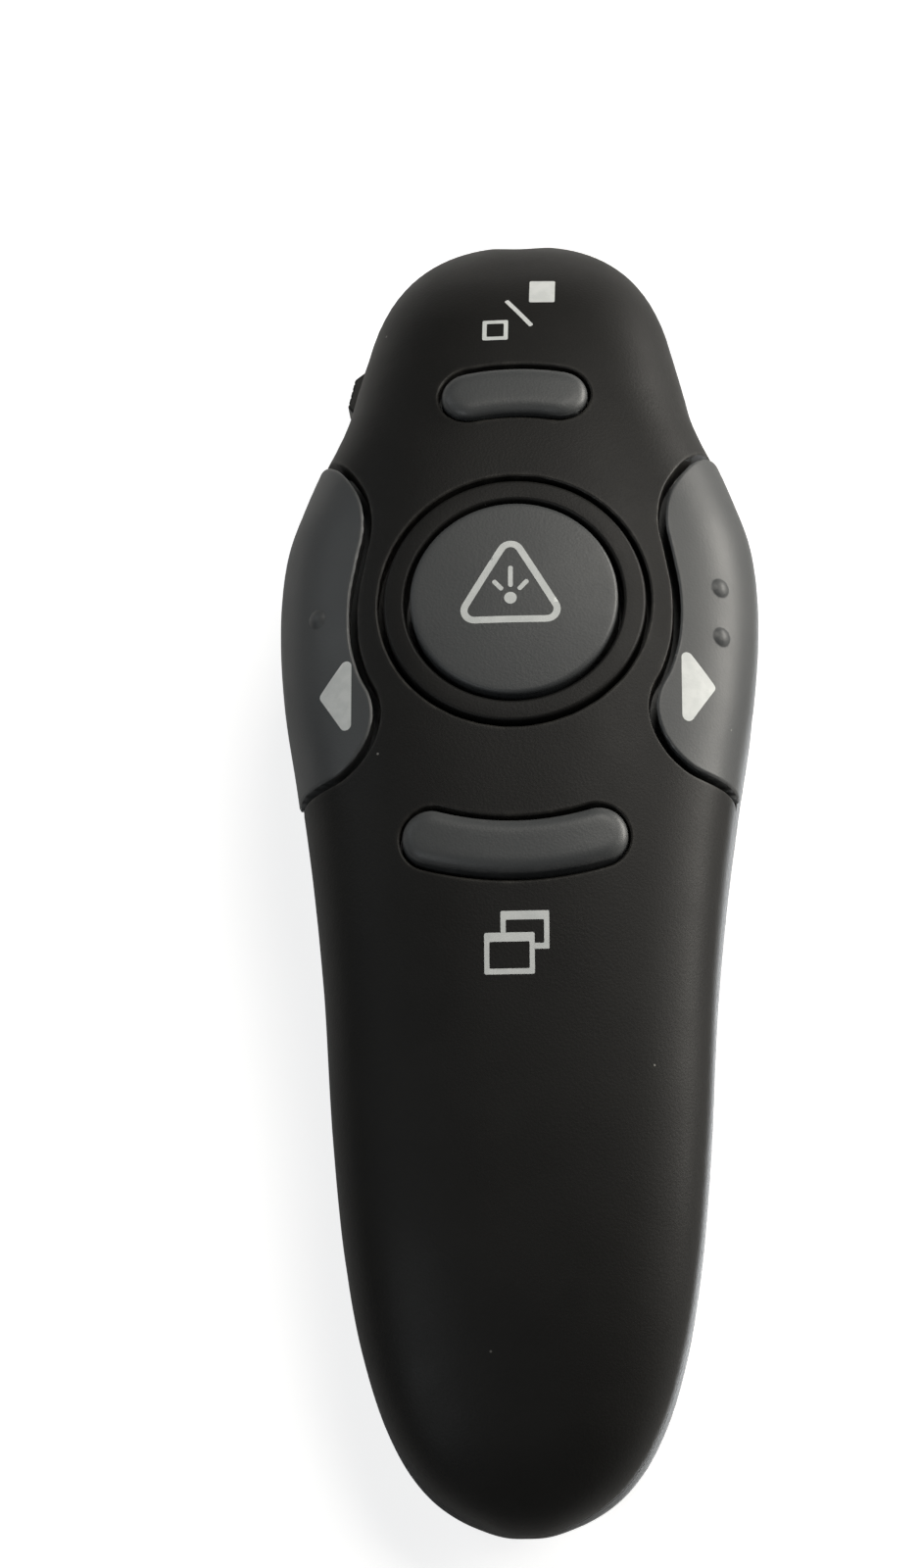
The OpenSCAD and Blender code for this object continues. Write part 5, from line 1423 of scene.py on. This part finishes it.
# %% Marks on the case, the side keys and the button
ARROW_CORNER = 0.5
BACK_ARROW, FORWARD_ARROW = (-14.4, -17.4, 14.05, 5.4, 10.25), (14.68, 17.7, 14.25, 5.7, 10.45)
TRIANGLE = np.array([(-5.6, 15.6), (5.1, 15.6), (-0.25, 24.75)])
TRIANGLE_CORNER, HOLE_CORNER, HOLE_SHARE = 1.25, 0.62, 0.795
LAMP, LAMP_R, RAY_START = np.array([-0.25, 17.95]), 0.56, 1.05
RAYS = [(-42, 2.3), (0, 3.1), (42, 2.3)]


def screen_icon():
    """A full and an empty square, with a slanting stroke between them."""
    return [[box_loop(1.22, 3.55, 49.6, 52.55, 0.14)],
            [bar((-0.87, 49.88), (1.5, 46.68))],
            [box_loop(-2.97, -0.64, 45.1, 47.42, 0.12), box_loop(-2.58, -1.03, 45.5, 47.02, 0.05)]]


def window_icon():
    """Two windows, the near one hiding a corner of the far one."""
    far_frame = [(-1.26, -12.64), (-1.26, -10.7), (2.95, -10.7), (2.95, -14.07), (1.64, -14.07),
                 (1.64, -13.55), (2.5, -13.55), (2.5, -11.48), (-0.81, -11.48), (-0.81, -12.64)]
    near_frame = [box_loop(-2.68, 1.68, -16.25, -12.6, 0.16), box_loop(-2.24, 1.24, -15.75, -13.4, 0.08)]
    return [[rounded_loop(far_frame, 0.06)], near_frame]


def arrow(base_x, tip_x, y_high, y_low, y_tip):
    """Triangle with its upright side at one x and its tip at another."""
    return [[rounded_loop([(base_x, y_high), (base_x, y_low), (tip_x, y_tip)], ARROW_CORNER)]]


def button_mark():
    """Triangle with round corners that points to the nose, and a lamp with three rays in it. A
    ray is given by its angle from straight ahead and its reach."""
    centre = TRIANGLE.mean(0)
    hole = centre + (TRIANGLE - centre) * HOLE_SHARE
    rays = []
    for turn, reach in RAYS:
        way = np.array([math.sin(math.radians(turn)), math.cos(math.radians(turn))])
        rays.append([bar(LAMP + way * RAY_START, LAMP + way * reach, 0.18)])
    return [[rounded_loop(TRIANGLE, TRIANGLE_CORNER), rounded_loop(hole, HOLE_CORNER)],
            [ring_of(*LAMP, LAMP_R, 28)], *rays]


marks = {
    "screen_print": (print_mark("screen_print", screen_icon(), upper_shell), "case"),
    "window_print": (print_mark("window_print", window_icon(), upper_shell), "case"),
    "back_print": (print_mark("back_print", arrow(*BACK_ARROW), side_keys["back_key"]), "back_key"),
    "forward_print": (print_mark("forward_print", arrow(*FORWARD_ARROW), side_keys["forward_key"]),
                      "forward_key"),
    "button_print": (print_mark("button_print", button_mark(), button), "laser_button"),
}
print({name: len(mark.data.polygons) for name, (mark, _) in marks.items()})
bpy.data.objects.remove(guide)

# %% [markdown]
# ## Screws, springs and cells
# Screws are turned once, with a thread and a cross in the head, and a tree sets one down at each
# place with a turn of its own, as a driver leaves them. Another tree winds the two springs. The
# cells are turned with a rolled rim and a nub, and a value on their points tells jacket from bare
# metal.

# %% Screws
SHANK_R, THREAD_PITCH, THREAD_DEPTH, SCREW_POINT = 1.0, 0.5, 0.14, 0.8
CROSS_LENGTH, CROSS_WIDTH, CROSS_DEPTH = 1.1, 0.24, 0.75
FRONT_TIP, REAR_TIP, BOARD_TIP = 20.2, 13.17, 19.2
CASE_HEAD, BOARD_HEAD = (1.9, 1.5), (1.7, 1.3)
BOARD_SCREW = (12.0, -0.6)


def screw(seat, tip, head, height):
    """Screw with its head down, at the origin in plan. The cross is a share of the head's radius."""
    core, low = SHANK_R - THREAD_DEPTH, seat - height
    turns = np.arange(seat + 0.4, tip - 0.9, THREAD_PITCH)
    thread = [(r, float(z + d)) for z in turns for r, d in ((core, 0), (SHANK_R, 0.2), (SHANK_R, 0.28))]
    profile = [(0, tip), (0.25, tip), (core, tip - SCREW_POINT), *thread[::-1], (core, seat),
               (head - 0.1, seat), (head, seat - 0.12), (head, low + 0.45), (head - 0.12, low + 0.22),
               (head * 0.6, low + 0.04), (0, low)]
    piece = lathe("screw", profile, 0, 0, 40)
    size = (CROSS_LENGTH * head / 2, CROSS_WIDTH * head / 2)
    cross = [block((-a, -b, low - 0.5), (a, b, low + CROSS_DEPTH)) for a, b in (size, size[::-1])]
    return combine(piece, ("DIFFERENCE", cross))


def screws_tree():
    """A screw at every point of the carrier, each with a turn of its own."""
    tree, source, output = new_tree("screws", [("Screw", "Object", None), ("Seed", "Int", 1),
                                               ("Material", "Material", None)])
    value = source.outputs
    one = add(tree, "GeometryNodeObjectInfo", {"transform_space": "RELATIVE"}, Object=value["Screw"])
    turn = add(tree, "FunctionNodeRandomValue", {"data_type": "FLOAT_VECTOR"}, Min=(0, 0, 0),
               Max=(0, 0, math.pi), Seed=value["Seed"])
    points = add(tree, "GeometryNodeMeshToPoints", Mesh=value["Geometry"])
    placed = add(tree, "GeometryNodeInstanceOnPoints", Points=points.outputs[0],
                 Instance=one.outputs["Geometry"], Rotation=turn.outputs[0])
    end_tree(tree, source, placed.outputs[0], output)
    return tree


SCREWS_TREE = screws_tree()
SCREWS = {"front_case_screws": (FRONT_SCREW, FRONT_SEAT, FRONT_TIP, CASE_HEAD),
          "rear_case_screws": (REAR_SCREW, REAR_SEAT, REAR_TIP, CASE_HEAD),
          "board_screws": (BOARD_SCREW, BOARD_Z, BOARD_TIP, BOARD_HEAD)}
screws = {}
for seed, (name, ((x, y), seat, tip, head)) in enumerate(SCREWS.items(), 3):
    one = screw(seat, tip, *head)
    pair = carrier_at([(-x, y, 0), (x, y, 0)])
    screws[name] = soften(run_tree(SCREWS_TREE, pair, name, Screw=one, Seed=seed, Material=plain))
    bpy.data.objects.remove(one)
print({name: len(group.data.polygons) for name, group in screws.items()})


# %% Springs and cells
SPRING_LENGTH, SPRING_FOOT = 3.15, 0.75
CELL_R, CELL_LENGTH, NUB = 5.25, 43.6, 0.9
LEFT_FLAT, RIGHT_FLAT = -36.2, 5.0
BARE_FLAT, BARE_NUB = 0.8, 1.0


def spring_tree():
    """A spiral of wire at every point of the carrier, turned the way that the point says."""
    tree, source, output = new_tree("springs", [
        ("Rotations", "Float", 4.5), ("Wide", "Float", 0.0034), ("Narrow", "Float", 0.0022),
        ("Wire", "Float", 0.0003), ("Length", "Float", 0.0031), ("Material", "Material", None)])
    value = source.outputs
    coil = add(tree, "GeometryNodeCurveSpiral", Resolution=48, Rotations=value["Rotations"],
               Start_Radius=value["Wide"], End_Radius=value["Narrow"], Height=value["Length"])
    wire = add(tree, "GeometryNodeCurvePrimitiveCircle", {"mode": "RADIUS"}, Resolution=14,
               Radius=value["Wire"])
    sweep = add(tree, "GeometryNodeCurveToMesh", Curve=coil.outputs[0], Profile_Curve=wire.outputs[0],
                Fill_Caps=True)
    points = add(tree, "GeometryNodeMeshToPoints", Mesh=value["Geometry"])
    way = add(tree, "GeometryNodeInputNamedAttribute", {"data_type": "FLOAT_VECTOR"}, Name="way")
    placed = add(tree, "GeometryNodeInstanceOnPoints", Points=points.outputs[0], Instance=sweep.outputs[0],
                 Rotation=way.outputs[0])
    end_tree(tree, source, placed.outputs[0], output)
    return tree


def springs():
    """The left spring at the bay's back and the right one at its front, each facing its cell."""
    feet = [(-CELL_X, BAY_BACK + SPRING_FOOT, CELL_Z), (CELL_X, BAY_FRONT - SPRING_FOOT, CELL_Z)]
    carrier = carrier_at(feet)
    way = carrier.data.attributes.new("way", "FLOAT_VECTOR", "POINT")
    way.data.foreach_set("vector", [-math.pi / 2, 0, 0, math.pi / 2, 0, 0])
    return soften(run_tree(spring_tree(), carrier, "springs", Material=plain, Length=SPRING_LENGTH * MM))


def cell(name, x, flat_end, way):
    """Cell along Y: a jacket, two bare ends and a nub. The flat end lies at a place, the nub a
    way from it."""
    r, end, tip = CELL_R, CELL_LENGTH, CELL_LENGTH + NUB
    flat = [(0, 0), (4.3, 0), (4.45, 0.12), (4.85, 0.12), (5.1, 0.22), (r, 0.5), (r, 0.75), (r, 1.0)]
    rim = [(r, end - 1.2), (r, end - 0.9), (r, end - 0.6), (5.05, end - 0.25), (4.8, end - 0.15), (4.0, end)]
    nub = [(1.95, end), (1.9, end + 0.1), (1.9, tip - 0.15), (1.75, tip), (0, tip)]
    placed = [(a, flat_end + way * b) for a, b in flat + rim + nub]
    piece = lathe(name, placed, x, CELL_Z, 96, level=CELL_Z)
    along = np.array([way * (v.co.y / MM - flat_end) for v in piece.data.vertices])
    bare = piece.data.attributes.new("bare", "FLOAT", "POINT")
    bare.data.foreach_set("value", ((along < BARE_FLAT) | (along > end - BARE_NUB)).astype(np.float32))
    return piece


coils = springs()
cells = {"cell_left": cell("cell_left_can", -CELL_X, LEFT_FLAT, 1),
         "cell_right": cell("cell_right_can", CELL_X, RIGHT_FLAT, -1)}
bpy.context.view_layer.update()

# %% [markdown]
# ## What rides on what
# The shells, the ring, the screws and the cells belong to the case. Each key, the knob, the
# cover and the receiver moves by itself, and a print goes with the key that carries it. A piece
# that stands for a solid of the frame hides that solid, so each row of the table also names the
# nodes that its piece replaces, and the finish that it takes.

# %% Names, bodies and slots
PIECES = [(upper_shell, "upper_skin", "case", ["upper_shell"], "soft_black"),
          (lower_shell, "lower_skin", "case", ["lower_shell"], "soft_black"),
          (ring, "ring", "case", ["bezel_ring"], "soft_black"),
          (aperture, "aperture", "case", ["aperture_ring"], "trim_black"),
          (button, "button", "laser_button", ["laser_button"], "key_grey"),
          (cover, "cover", "battery_cover", ["battery_cover"], "soft_black"),
          (knob, "knob", "power_knob", ["power_knob"], "trim_black"),
          (housing, "receiver_grip", "usb_receiver", ["usb_housing"], "trim_black"),
          (plug, "receiver_sleeve", "usb_receiver", ["usb_shell"], "steel")]
PIECES += [(piece, name + "_cap", name, [name], "key_grey")
           for name, piece in (side_keys | arch_keys).items()]
PIECES += [(piece, name + "_turned", "case", [name], "steel") for name, piece in screws.items()]
PIECES += [(piece, name + "_can", "case", [name], "cell_jacket") for name, piece in cells.items()]
PIECES.append((coils, "springs", "case", ["cell_springs"], "steel"))
PIECES += [(piece, name, body, [], "white_plastic") for name, (piece, body) in marks.items()]


def flat_kept(piece):
    """Let a large flat face keep its own direction where it meets small rounded ones."""
    step = piece.modifiers.new("normals", "WEIGHTED_NORMAL")
    step.keep_sharp = True
    settle(piece)


for piece in (cover, knob, housing, plug, lower_shell):
    flat_kept(piece)
for piece, name, body, nodes, slot in PIECES:
    piece.name = name
    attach(piece, body)
    if nodes:
        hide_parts(*nodes)
print(len(PIECES), "pieces")

# %% [markdown]
# ## Finishes
# Every finish starts from the same few effects, kept as groups of nodes: a fine moulded grain, a
# slow change of tone, a brighter line along the edges, which is partly rubbed wear and partly a
# painted highlight, and stray dust. Each group gives out only what changes over the surface. The
# numbers that make one plastic softer or glossier than another are set on each material itself.

# %% Groups of nodes
def new_group(name, inputs, outputs):
    """Empty shader group with named inputs and outputs."""
    group = bpy.data.node_groups.new(name, "ShaderNodeTree")
    for direction, sockets in (("INPUT", inputs), ("OUTPUT", outputs)):
        for label, kind, *value in sockets:
            made = group.interface.new_socket(label, in_out=direction, socket_type="NodeSocket" + kind)
            if value:
                made.default_value = value[0]
    return group, group.nodes.new("NodeGroupInput"), group.nodes.new("NodeGroupOutput")


def noise(tree, vector, scale, detail, rough):
    """Smooth random value over a surface."""
    texture = add(tree, "ShaderNodeTexNoise", Vector=vector, Scale=scale, Detail=detail, Roughness=rough)
    return texture.outputs[0]


def spread(tree, value, low, high, to_low=0.0, to_high=1.0, smooth=True):
    """A value between two limits, stretched to two others."""
    node = add(tree, "ShaderNodeMapRange", {"interpolation_type": "SMOOTHSTEP" if smooth else "LINEAR"},
               Value=value, From_Min=low, From_Max=high, To_Min=to_low, To_Max=to_high)
    return node.outputs[0]


def mixed(tree, factor, a, b):
    """Colour between two others."""
    node = add(tree, "ShaderNodeMix", {"data_type": "RGBA"}, _0=factor, _6=a, _7=b)
    return node.outputs[2]


def grain_group():
    """Moulded grain: shallow cells with finer noise on them, and the roughness that goes with it."""
    group, source, output = new_group("grain", [
        ("Vector", "Vector"), ("Scale", "Float", 6000.0), ("Smoothest", "Float", 0.4),
        ("Roughest", "Float", 0.55)], [("Height", "Float"), ("Roughness", "Float")])
    value = source.outputs
    cells = add(group, "ShaderNodeTexVoronoi", {"feature": "SMOOTH_F1"}, Vector=value["Vector"],
                Scale=value["Scale"], Smoothness=0.6)
    fine = noise(group, value["Vector"], math_node(group, "MULTIPLY", value["Scale"], 1.7), 3.0, 0.6)
    both = math_node(group, "ADD", math_node(group, "MULTIPLY", cells.outputs["Distance"], 0.7),
                     math_node(group, "MULTIPLY", fine, 0.6))
    group.links.new(both, output.inputs["Height"])
    slow = noise(group, value["Vector"], 140.0, 3.0, 0.6)
    share = math_node(group, "ADD", math_node(group, "MULTIPLY", slow, 0.65),
                      math_node(group, "MULTIPLY", fine, 0.35))
    rough = spread(group, share, 0.3, 0.7, value["Smoothest"], value["Roughest"])
    group.links.new(rough, output.inputs["Roughness"])
    return group


def tone_group():
    """Slow change between two colours, as in a part handled for a while."""
    group, source, output = new_group("tone", [
        ("Vector", "Vector"), ("Scale", "Float", 60.0), ("Dark", "Color"), ("Light", "Color")],
        [("Color", "Color")])
    value = source.outputs
    share = spread(group, noise(group, value["Vector"], value["Scale"], 4.0, 0.55), 0.35, 0.65)
    group.links.new(mixed(group, share, value["Dark"], value["Light"]), output.inputs[0])
    return group


def wear_and_sheen_group():
    """Brighter, smoother line along the edges, broken up by noise. The brighter colour is partly rubbed wear
    and partly a painted highlight; the smoother roughness is wear.
    """
    group, source, output = new_group("edge_wear", [
        ("Vector", "Vector"), ("Edge", "Float"), ("Color", "Color"), ("Worn", "Color"),
        ("Roughness", "Float"), ("Polished", "Float", 0.35)], [("Color", "Color"), ("Roughness", "Float")])
    value = source.outputs
    broken = spread(group, noise(group, value["Vector"], 700.0, 4.0, 0.65), 0.4, 0.75, 0.25, 1.0)
    mask = math_node(group, "MULTIPLY", spread(group, value["Edge"], 0.35, 1.0), broken)
    group.links.new(mixed(group, mask, value["Color"], value["Worn"]), output.inputs["Color"])
    rough = add(group, "ShaderNodeMix", {"data_type": "FLOAT"}, _0=mask, _2=value["Roughness"],
                _3=value["Polished"])
    group.links.new(rough.outputs[0], output.inputs["Roughness"])
    return group


def dust_group():
    """Sparse pale specks."""
    group, source, output = new_group("dust", [
        ("Vector", "Vector"), ("Color", "Color"), ("Dust", "Color"), ("Scale", "Float", 420.0),
        ("Amount", "Float", 0.5)], [("Color", "Color")])
    value = source.outputs
    cells = add(group, "ShaderNodeTexVoronoi", Vector=value["Vector"], Scale=value["Scale"], Randomness=1.0)
    speck = spread(group, cells.outputs["Distance"], 0.055, 0.035)
    pick = add(group, "ShaderNodeSeparateColor", Color=cells.outputs["Color"])
    rare = spread(group, pick.outputs[0], 0.93, 0.95)
    mask = math_node(group, "MULTIPLY", math_node(group, "MULTIPLY", speck, rare), value["Amount"])
    group.links.new(mixed(group, mask, value["Color"], value["Dust"]), output.inputs[0])
    return group


GRAIN, TONE, WEAR_AND_SHEEN, DUST = grain_group(), tone_group(), wear_and_sheen_group(), dust_group()


DUST_COLOUR = (0.5, 0.49, 0.46, 1.0)


def grouped(tree, group, **links):
    """One of the groups above, with its inputs linked or set."""
    return add(tree, "ShaderNodeGroup", {"node_tree": group}, **links)


def finish(name, dark, light, rough, scale=6000.0, depth=1.2e-05, tone=60.0, worn=None, dusty=0.0,
           strength=0.5, **own):
    """Material with grain and tone, and with dust and a pale edge line where asked; that line is partly wear
    and partly painted highlight. The rest is set on the shader.
    """
    mat = bpy.data.materials.new(name)
    mat.use_nodes = True
    tree = mat.node_tree
    shader = tree.nodes["Principled BSDF"]
    at = add(tree, "ShaderNodeTexCoord").outputs["Object"]
    grain = grouped(tree, GRAIN, Vector=at, Scale=scale, Smoothest=rough[0], Roughest=rough[1])
    colour = grouped(tree, TONE, Vector=at, Scale=tone, Dark=(*dark, 1.0), Light=(*light, 1.0)).outputs[0]
    roughness = grain.outputs["Roughness"]
    # A paler line along the edges: partly rubbed wear, partly painted highlight.
    if worn:
        edge = add(tree, "ShaderNodeAttribute", {"attribute_name": "edge"}).outputs["Fac"]
        rubbed_and_lit = grouped(tree, WEAR_AND_SHEEN, Vector=at, Edge=edge, Color=colour, Worn=(*worn, 1.0),
                         Roughness=roughness)
        colour, roughness = rubbed_and_lit.outputs["Color"], rubbed_and_lit.outputs["Roughness"]
    if dusty:
        colour = grouped(tree, DUST, Vector=at, Color=colour, Dust=DUST_COLOUR, Amount=dusty).outputs[0]
    tree.links.new(colour, shader.inputs["Base Color"])
    tree.links.new(roughness, shader.inputs["Roughness"])
    bump = add(tree, "ShaderNodeBump", Height=grain.outputs["Height"], Strength=strength, Distance=depth)
    tree.links.new(bump.outputs[0], shader.inputs["Normal"])
    for key, value in own.items():
        shader.inputs[key.replace("_", " ")].default_value = value
    return mat


# %% [markdown]
# ### Coat, plastics and metals
# The body has a soft-touch coat: nearly black and matte, a little paler along its edges, which is partly
# rubbed wear and partly a painted highlight.
# The keys are a harder grey plastic with more shine. Ink is pale, thin and not quite even. Behind
# them are plain moulded plastics, the board's green mask, bright nickel, gilt brass, and a red
# window that lets light through.

# %% Plastics and metals
FINISHES = {
    # The edge colours below are partly rubbed wear and partly painted highlight.
    "soft_black": finish("soft_touch_black", (0.0108, 0.0106, 0.0101), (0.0132, 0.0129, 0.0121),
                         (0.44, 0.52), scale=4200.0, depth=2.4e-05, worn=(0.045, 0.043, 0.039),
                         dusty=0.5, Specular_IOR_Level=0.3),
    "key_grey": finish("moulded_grey", (0.066, 0.0705, 0.0735), (0.075, 0.0795, 0.0815), (0.42, 0.5),
                       scale=4200.0, depth=2.2e-05, worn=(0.11, 0.113, 0.114), dusty=0.3,
                       Specular_IOR_Level=0.66),
    "trim_black": finish("moulded_black", (0.008, 0.008, 0.008), (0.012, 0.012, 0.0115), (0.3, 0.42),
                         scale=4000.0, dusty=0.3),
    "ink": finish("pale_ink", (0.78, 0.81, 0.8), (0.86, 0.885, 0.875), (0.45, 0.6), scale=9000.0,
                  tone=900.0),
    "white_plastic": finish("white_plastic", (0.72, 0.71, 0.67), (0.8, 0.79, 0.75), (0.35, 0.45)),
    "chip_black": finish("moulded_epoxy", (0.018, 0.018, 0.019), (0.028, 0.028, 0.029), (0.5, 0.65),
                         scale=9000.0),
    "board_green": finish("solder_mask", (0.008, 0.06, 0.028), (0.015, 0.1, 0.045), (0.25, 0.4),
                          tone=400.0),
    "steel": finish("nickel_steel", (0.5, 0.5, 0.49), (0.62, 0.62, 0.61), (0.22, 0.36), scale=12000.0,
                    tone=500.0, Metallic=1.0),
    "gold": finish("gilt_brass", (0.72, 0.5, 0.2), (0.83, 0.6, 0.28), (0.22, 0.36), scale=12000.0,
                   tone=500.0, Metallic=1.0),
    "red_glass": finish("red_window", (0.16, 0.004, 0.006), (0.22, 0.006, 0.008), (0.06, 0.12),
                        scale=2500.0, strength=0.1, Transmission_Weight=0.5, Coat_Weight=0.6)}


def cell_jacket():
    """Printed sleeve of a cell, and bare nickel where the mesh says so."""
    mat = finish("cell_jacket", (0.03, 0.09, 0.07), (0.04, 0.12, 0.09), (0.25, 0.35), tone=200.0)
    tree = mat.node_tree
    shader = tree.nodes["Principled BSDF"]
    told = add(tree, "ShaderNodeAttribute", {"attribute_name": "bare"}).outputs["Fac"]
    bare = spread(tree, told, 0.4, 0.6)
    sleeve = shader.inputs["Base Color"].links[0].from_socket
    tree.links.new(mixed(tree, bare, sleeve, (0.6, 0.6, 0.59, 1)), shader.inputs["Base Color"])
    tree.links.new(bare, shader.inputs["Metallic"])
    return mat


FLOOR_GLOW = 0.75


def pale_floor():
    """White sweep that glows towards the eye, and lets the light from underneath through."""
    mat = finish("pale_floor", (0.89, 0.89, 0.89), (0.91, 0.91, 0.91), (0.8, 0.9), scale=400.0, depth=1e-05,
                 Specular_IOR_Level=0.0)
    tree = mat.node_tree
    shader = tree.nodes["Principled BSDF"]
    path = add(tree, "ShaderNodeLightPath").outputs
    glow = mixed(tree, path["Is Camera Ray"], (0, 0, 0, 1), (1, 1, 1, 1))
    tree.links.new(glow, shader.inputs["Emission Color"])
    shader.inputs["Emission Strength"].default_value = FLOOR_GLOW
    back = add(tree, "ShaderNodeNewGeometry").outputs["Backfacing"]
    clear = add(tree, "ShaderNodeBsdfTransparent")
    through = add(tree, "ShaderNodeMixShader", _0=math_node(tree, "MAXIMUM", back, path["Is Shadow Ray"]),
                  _1=shader.outputs[0], _2=clear.outputs[0])
    tree.links.new(through.outputs[0], tree.nodes["Material Output"].inputs["Surface"])
    return mat


FINISHES["cell_jacket"] = cell_jacket()
floor_finish = pale_floor()


def dress(piece, slot):
    """Give a piece one finish and no other."""
    piece.data.materials.clear()
    piece.data.materials.append(FINISHES[slot])


for piece, name, _, _, slot in PIECES:
    dress(piece, "ink" if name.endswith("_print") else slot)

# %% Finishes of the solids that stay
NODE_SLOTS = {
    "red_glass": ["laser_window", "laser_lens"],
    "white_plastic": ["laser_stem", "screen_stem", "window_stem", "back_stem", "forward_stem", "switch_lever",
                      "usb_tongue"],
    "chip_black": ["laser_switch", "screen_switch", "window_switch", "back_switch", "forward_switch",
                   "controller_chip", "radio_chip", "capacitors"],
    "board_green": ["circuit_board", "usb_board"],
    "steel": ["clock_crystal", "slide_switch", "laser_diode", "laser_leads", "tail_link",
              "positive_terminal", "negative_terminal"],
    "gold": ["antenna", "laser_barrel", "usb_contacts"]}
for slot, names in NODE_SLOTS.items():
    for name in names:
        dress(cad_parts[name], slot)
replaced = {node for _, _, _, nodes, _ in PIECES for node in nodes}
dressed = {name for names in NODE_SLOTS.values() for name in names}
print(sorted(set(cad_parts) - replaced - dressed), "left bare")

# %% [markdown]
# ## Floor and light
# A wide soft light stands low on the right, towards the nose. It grazes the dark coat and gives
# the right flank and the keys their bright side. Two smaller ones over the nose and the right
# side light the prints, and two weak cool ones keep the left side readable. One under the floor
# shows the battery cover and the receiver to whoever looks from below. The floor is a sweep of
# white, and it lies a hair under the clicker, so that the two never share a plane.

# %% Floor, lights and world
FLOOR_REACH, FLOOR_DROP = 3000.0, 0.05
WORLD_LIGHT, WORLD_SEEN = 0.02, 0.86
corners = [(x * FLOOR_REACH, y * FLOOR_REACH, -FLOOR_DROP) for x, y in ((-1, -1), (1, -1), (1, 1), (-1, 1))]
floor = in_scene("floor", mesh_from("floor", corners, [(0, 1, 2, 3)]))
floor.data.materials.append(floor_finish)


def area_light(name, azimuth, elevation, size, power, colour):
    """Soft light a metre away. Azimuth 0 is the clicker's right side, 90 is its nose."""
    data = bpy.data.lights.new(name, "AREA")
    data.color = colour
    data.shape, data.size, data.size_y, data.energy = "RECTANGLE", size[0], size[1], power
    lamp = in_scene(name, data)
    around, up = math.radians(azimuth), math.radians(elevation)
    place = Vector((math.cos(up) * math.cos(around), math.cos(up) * math.sin(around), math.sin(up)))
    lamp.location = place
    lamp.rotation_euler = (-place).to_track_quat("-Z", "Y").to_euler()


WARM, COOL = (1.0, 0.965, 0.9), (0.93, 0.97, 1.0)
area_light("key", 26, 10, (0.8, 0.3), 7.8, WARM)
area_light("nose", 60, 58, (0.4, 0.4), 3.0, WARM)
area_light("right", 12, 36, (0.4, 0.4), 1.7, WARM)
area_light("left", 150, 34, (0.4, 0.4), 0.7, COOL)
area_light("tail", 222, 46, (0.4, 0.4), 1.0, COOL)
area_light("under", 60, -75, (0.5, 0.5), 16.0, COOL)
world = bpy.data.worlds.new("world")
scene.world = world
world.use_nodes = True
sky = world.node_tree.nodes["Background"].inputs
sky["Color"].default_value = (1, 1, 1, 1)
seen = add(world.node_tree, "ShaderNodeLightPath").outputs["Is Camera Ray"]
strength = spread(world.node_tree, seen, 0, 1, WORLD_LIGHT, WORLD_SEEN, smooth=False)
world.node_tree.links.new(strength, sky["Strength"])
scene.view_settings.view_transform = "Standard"
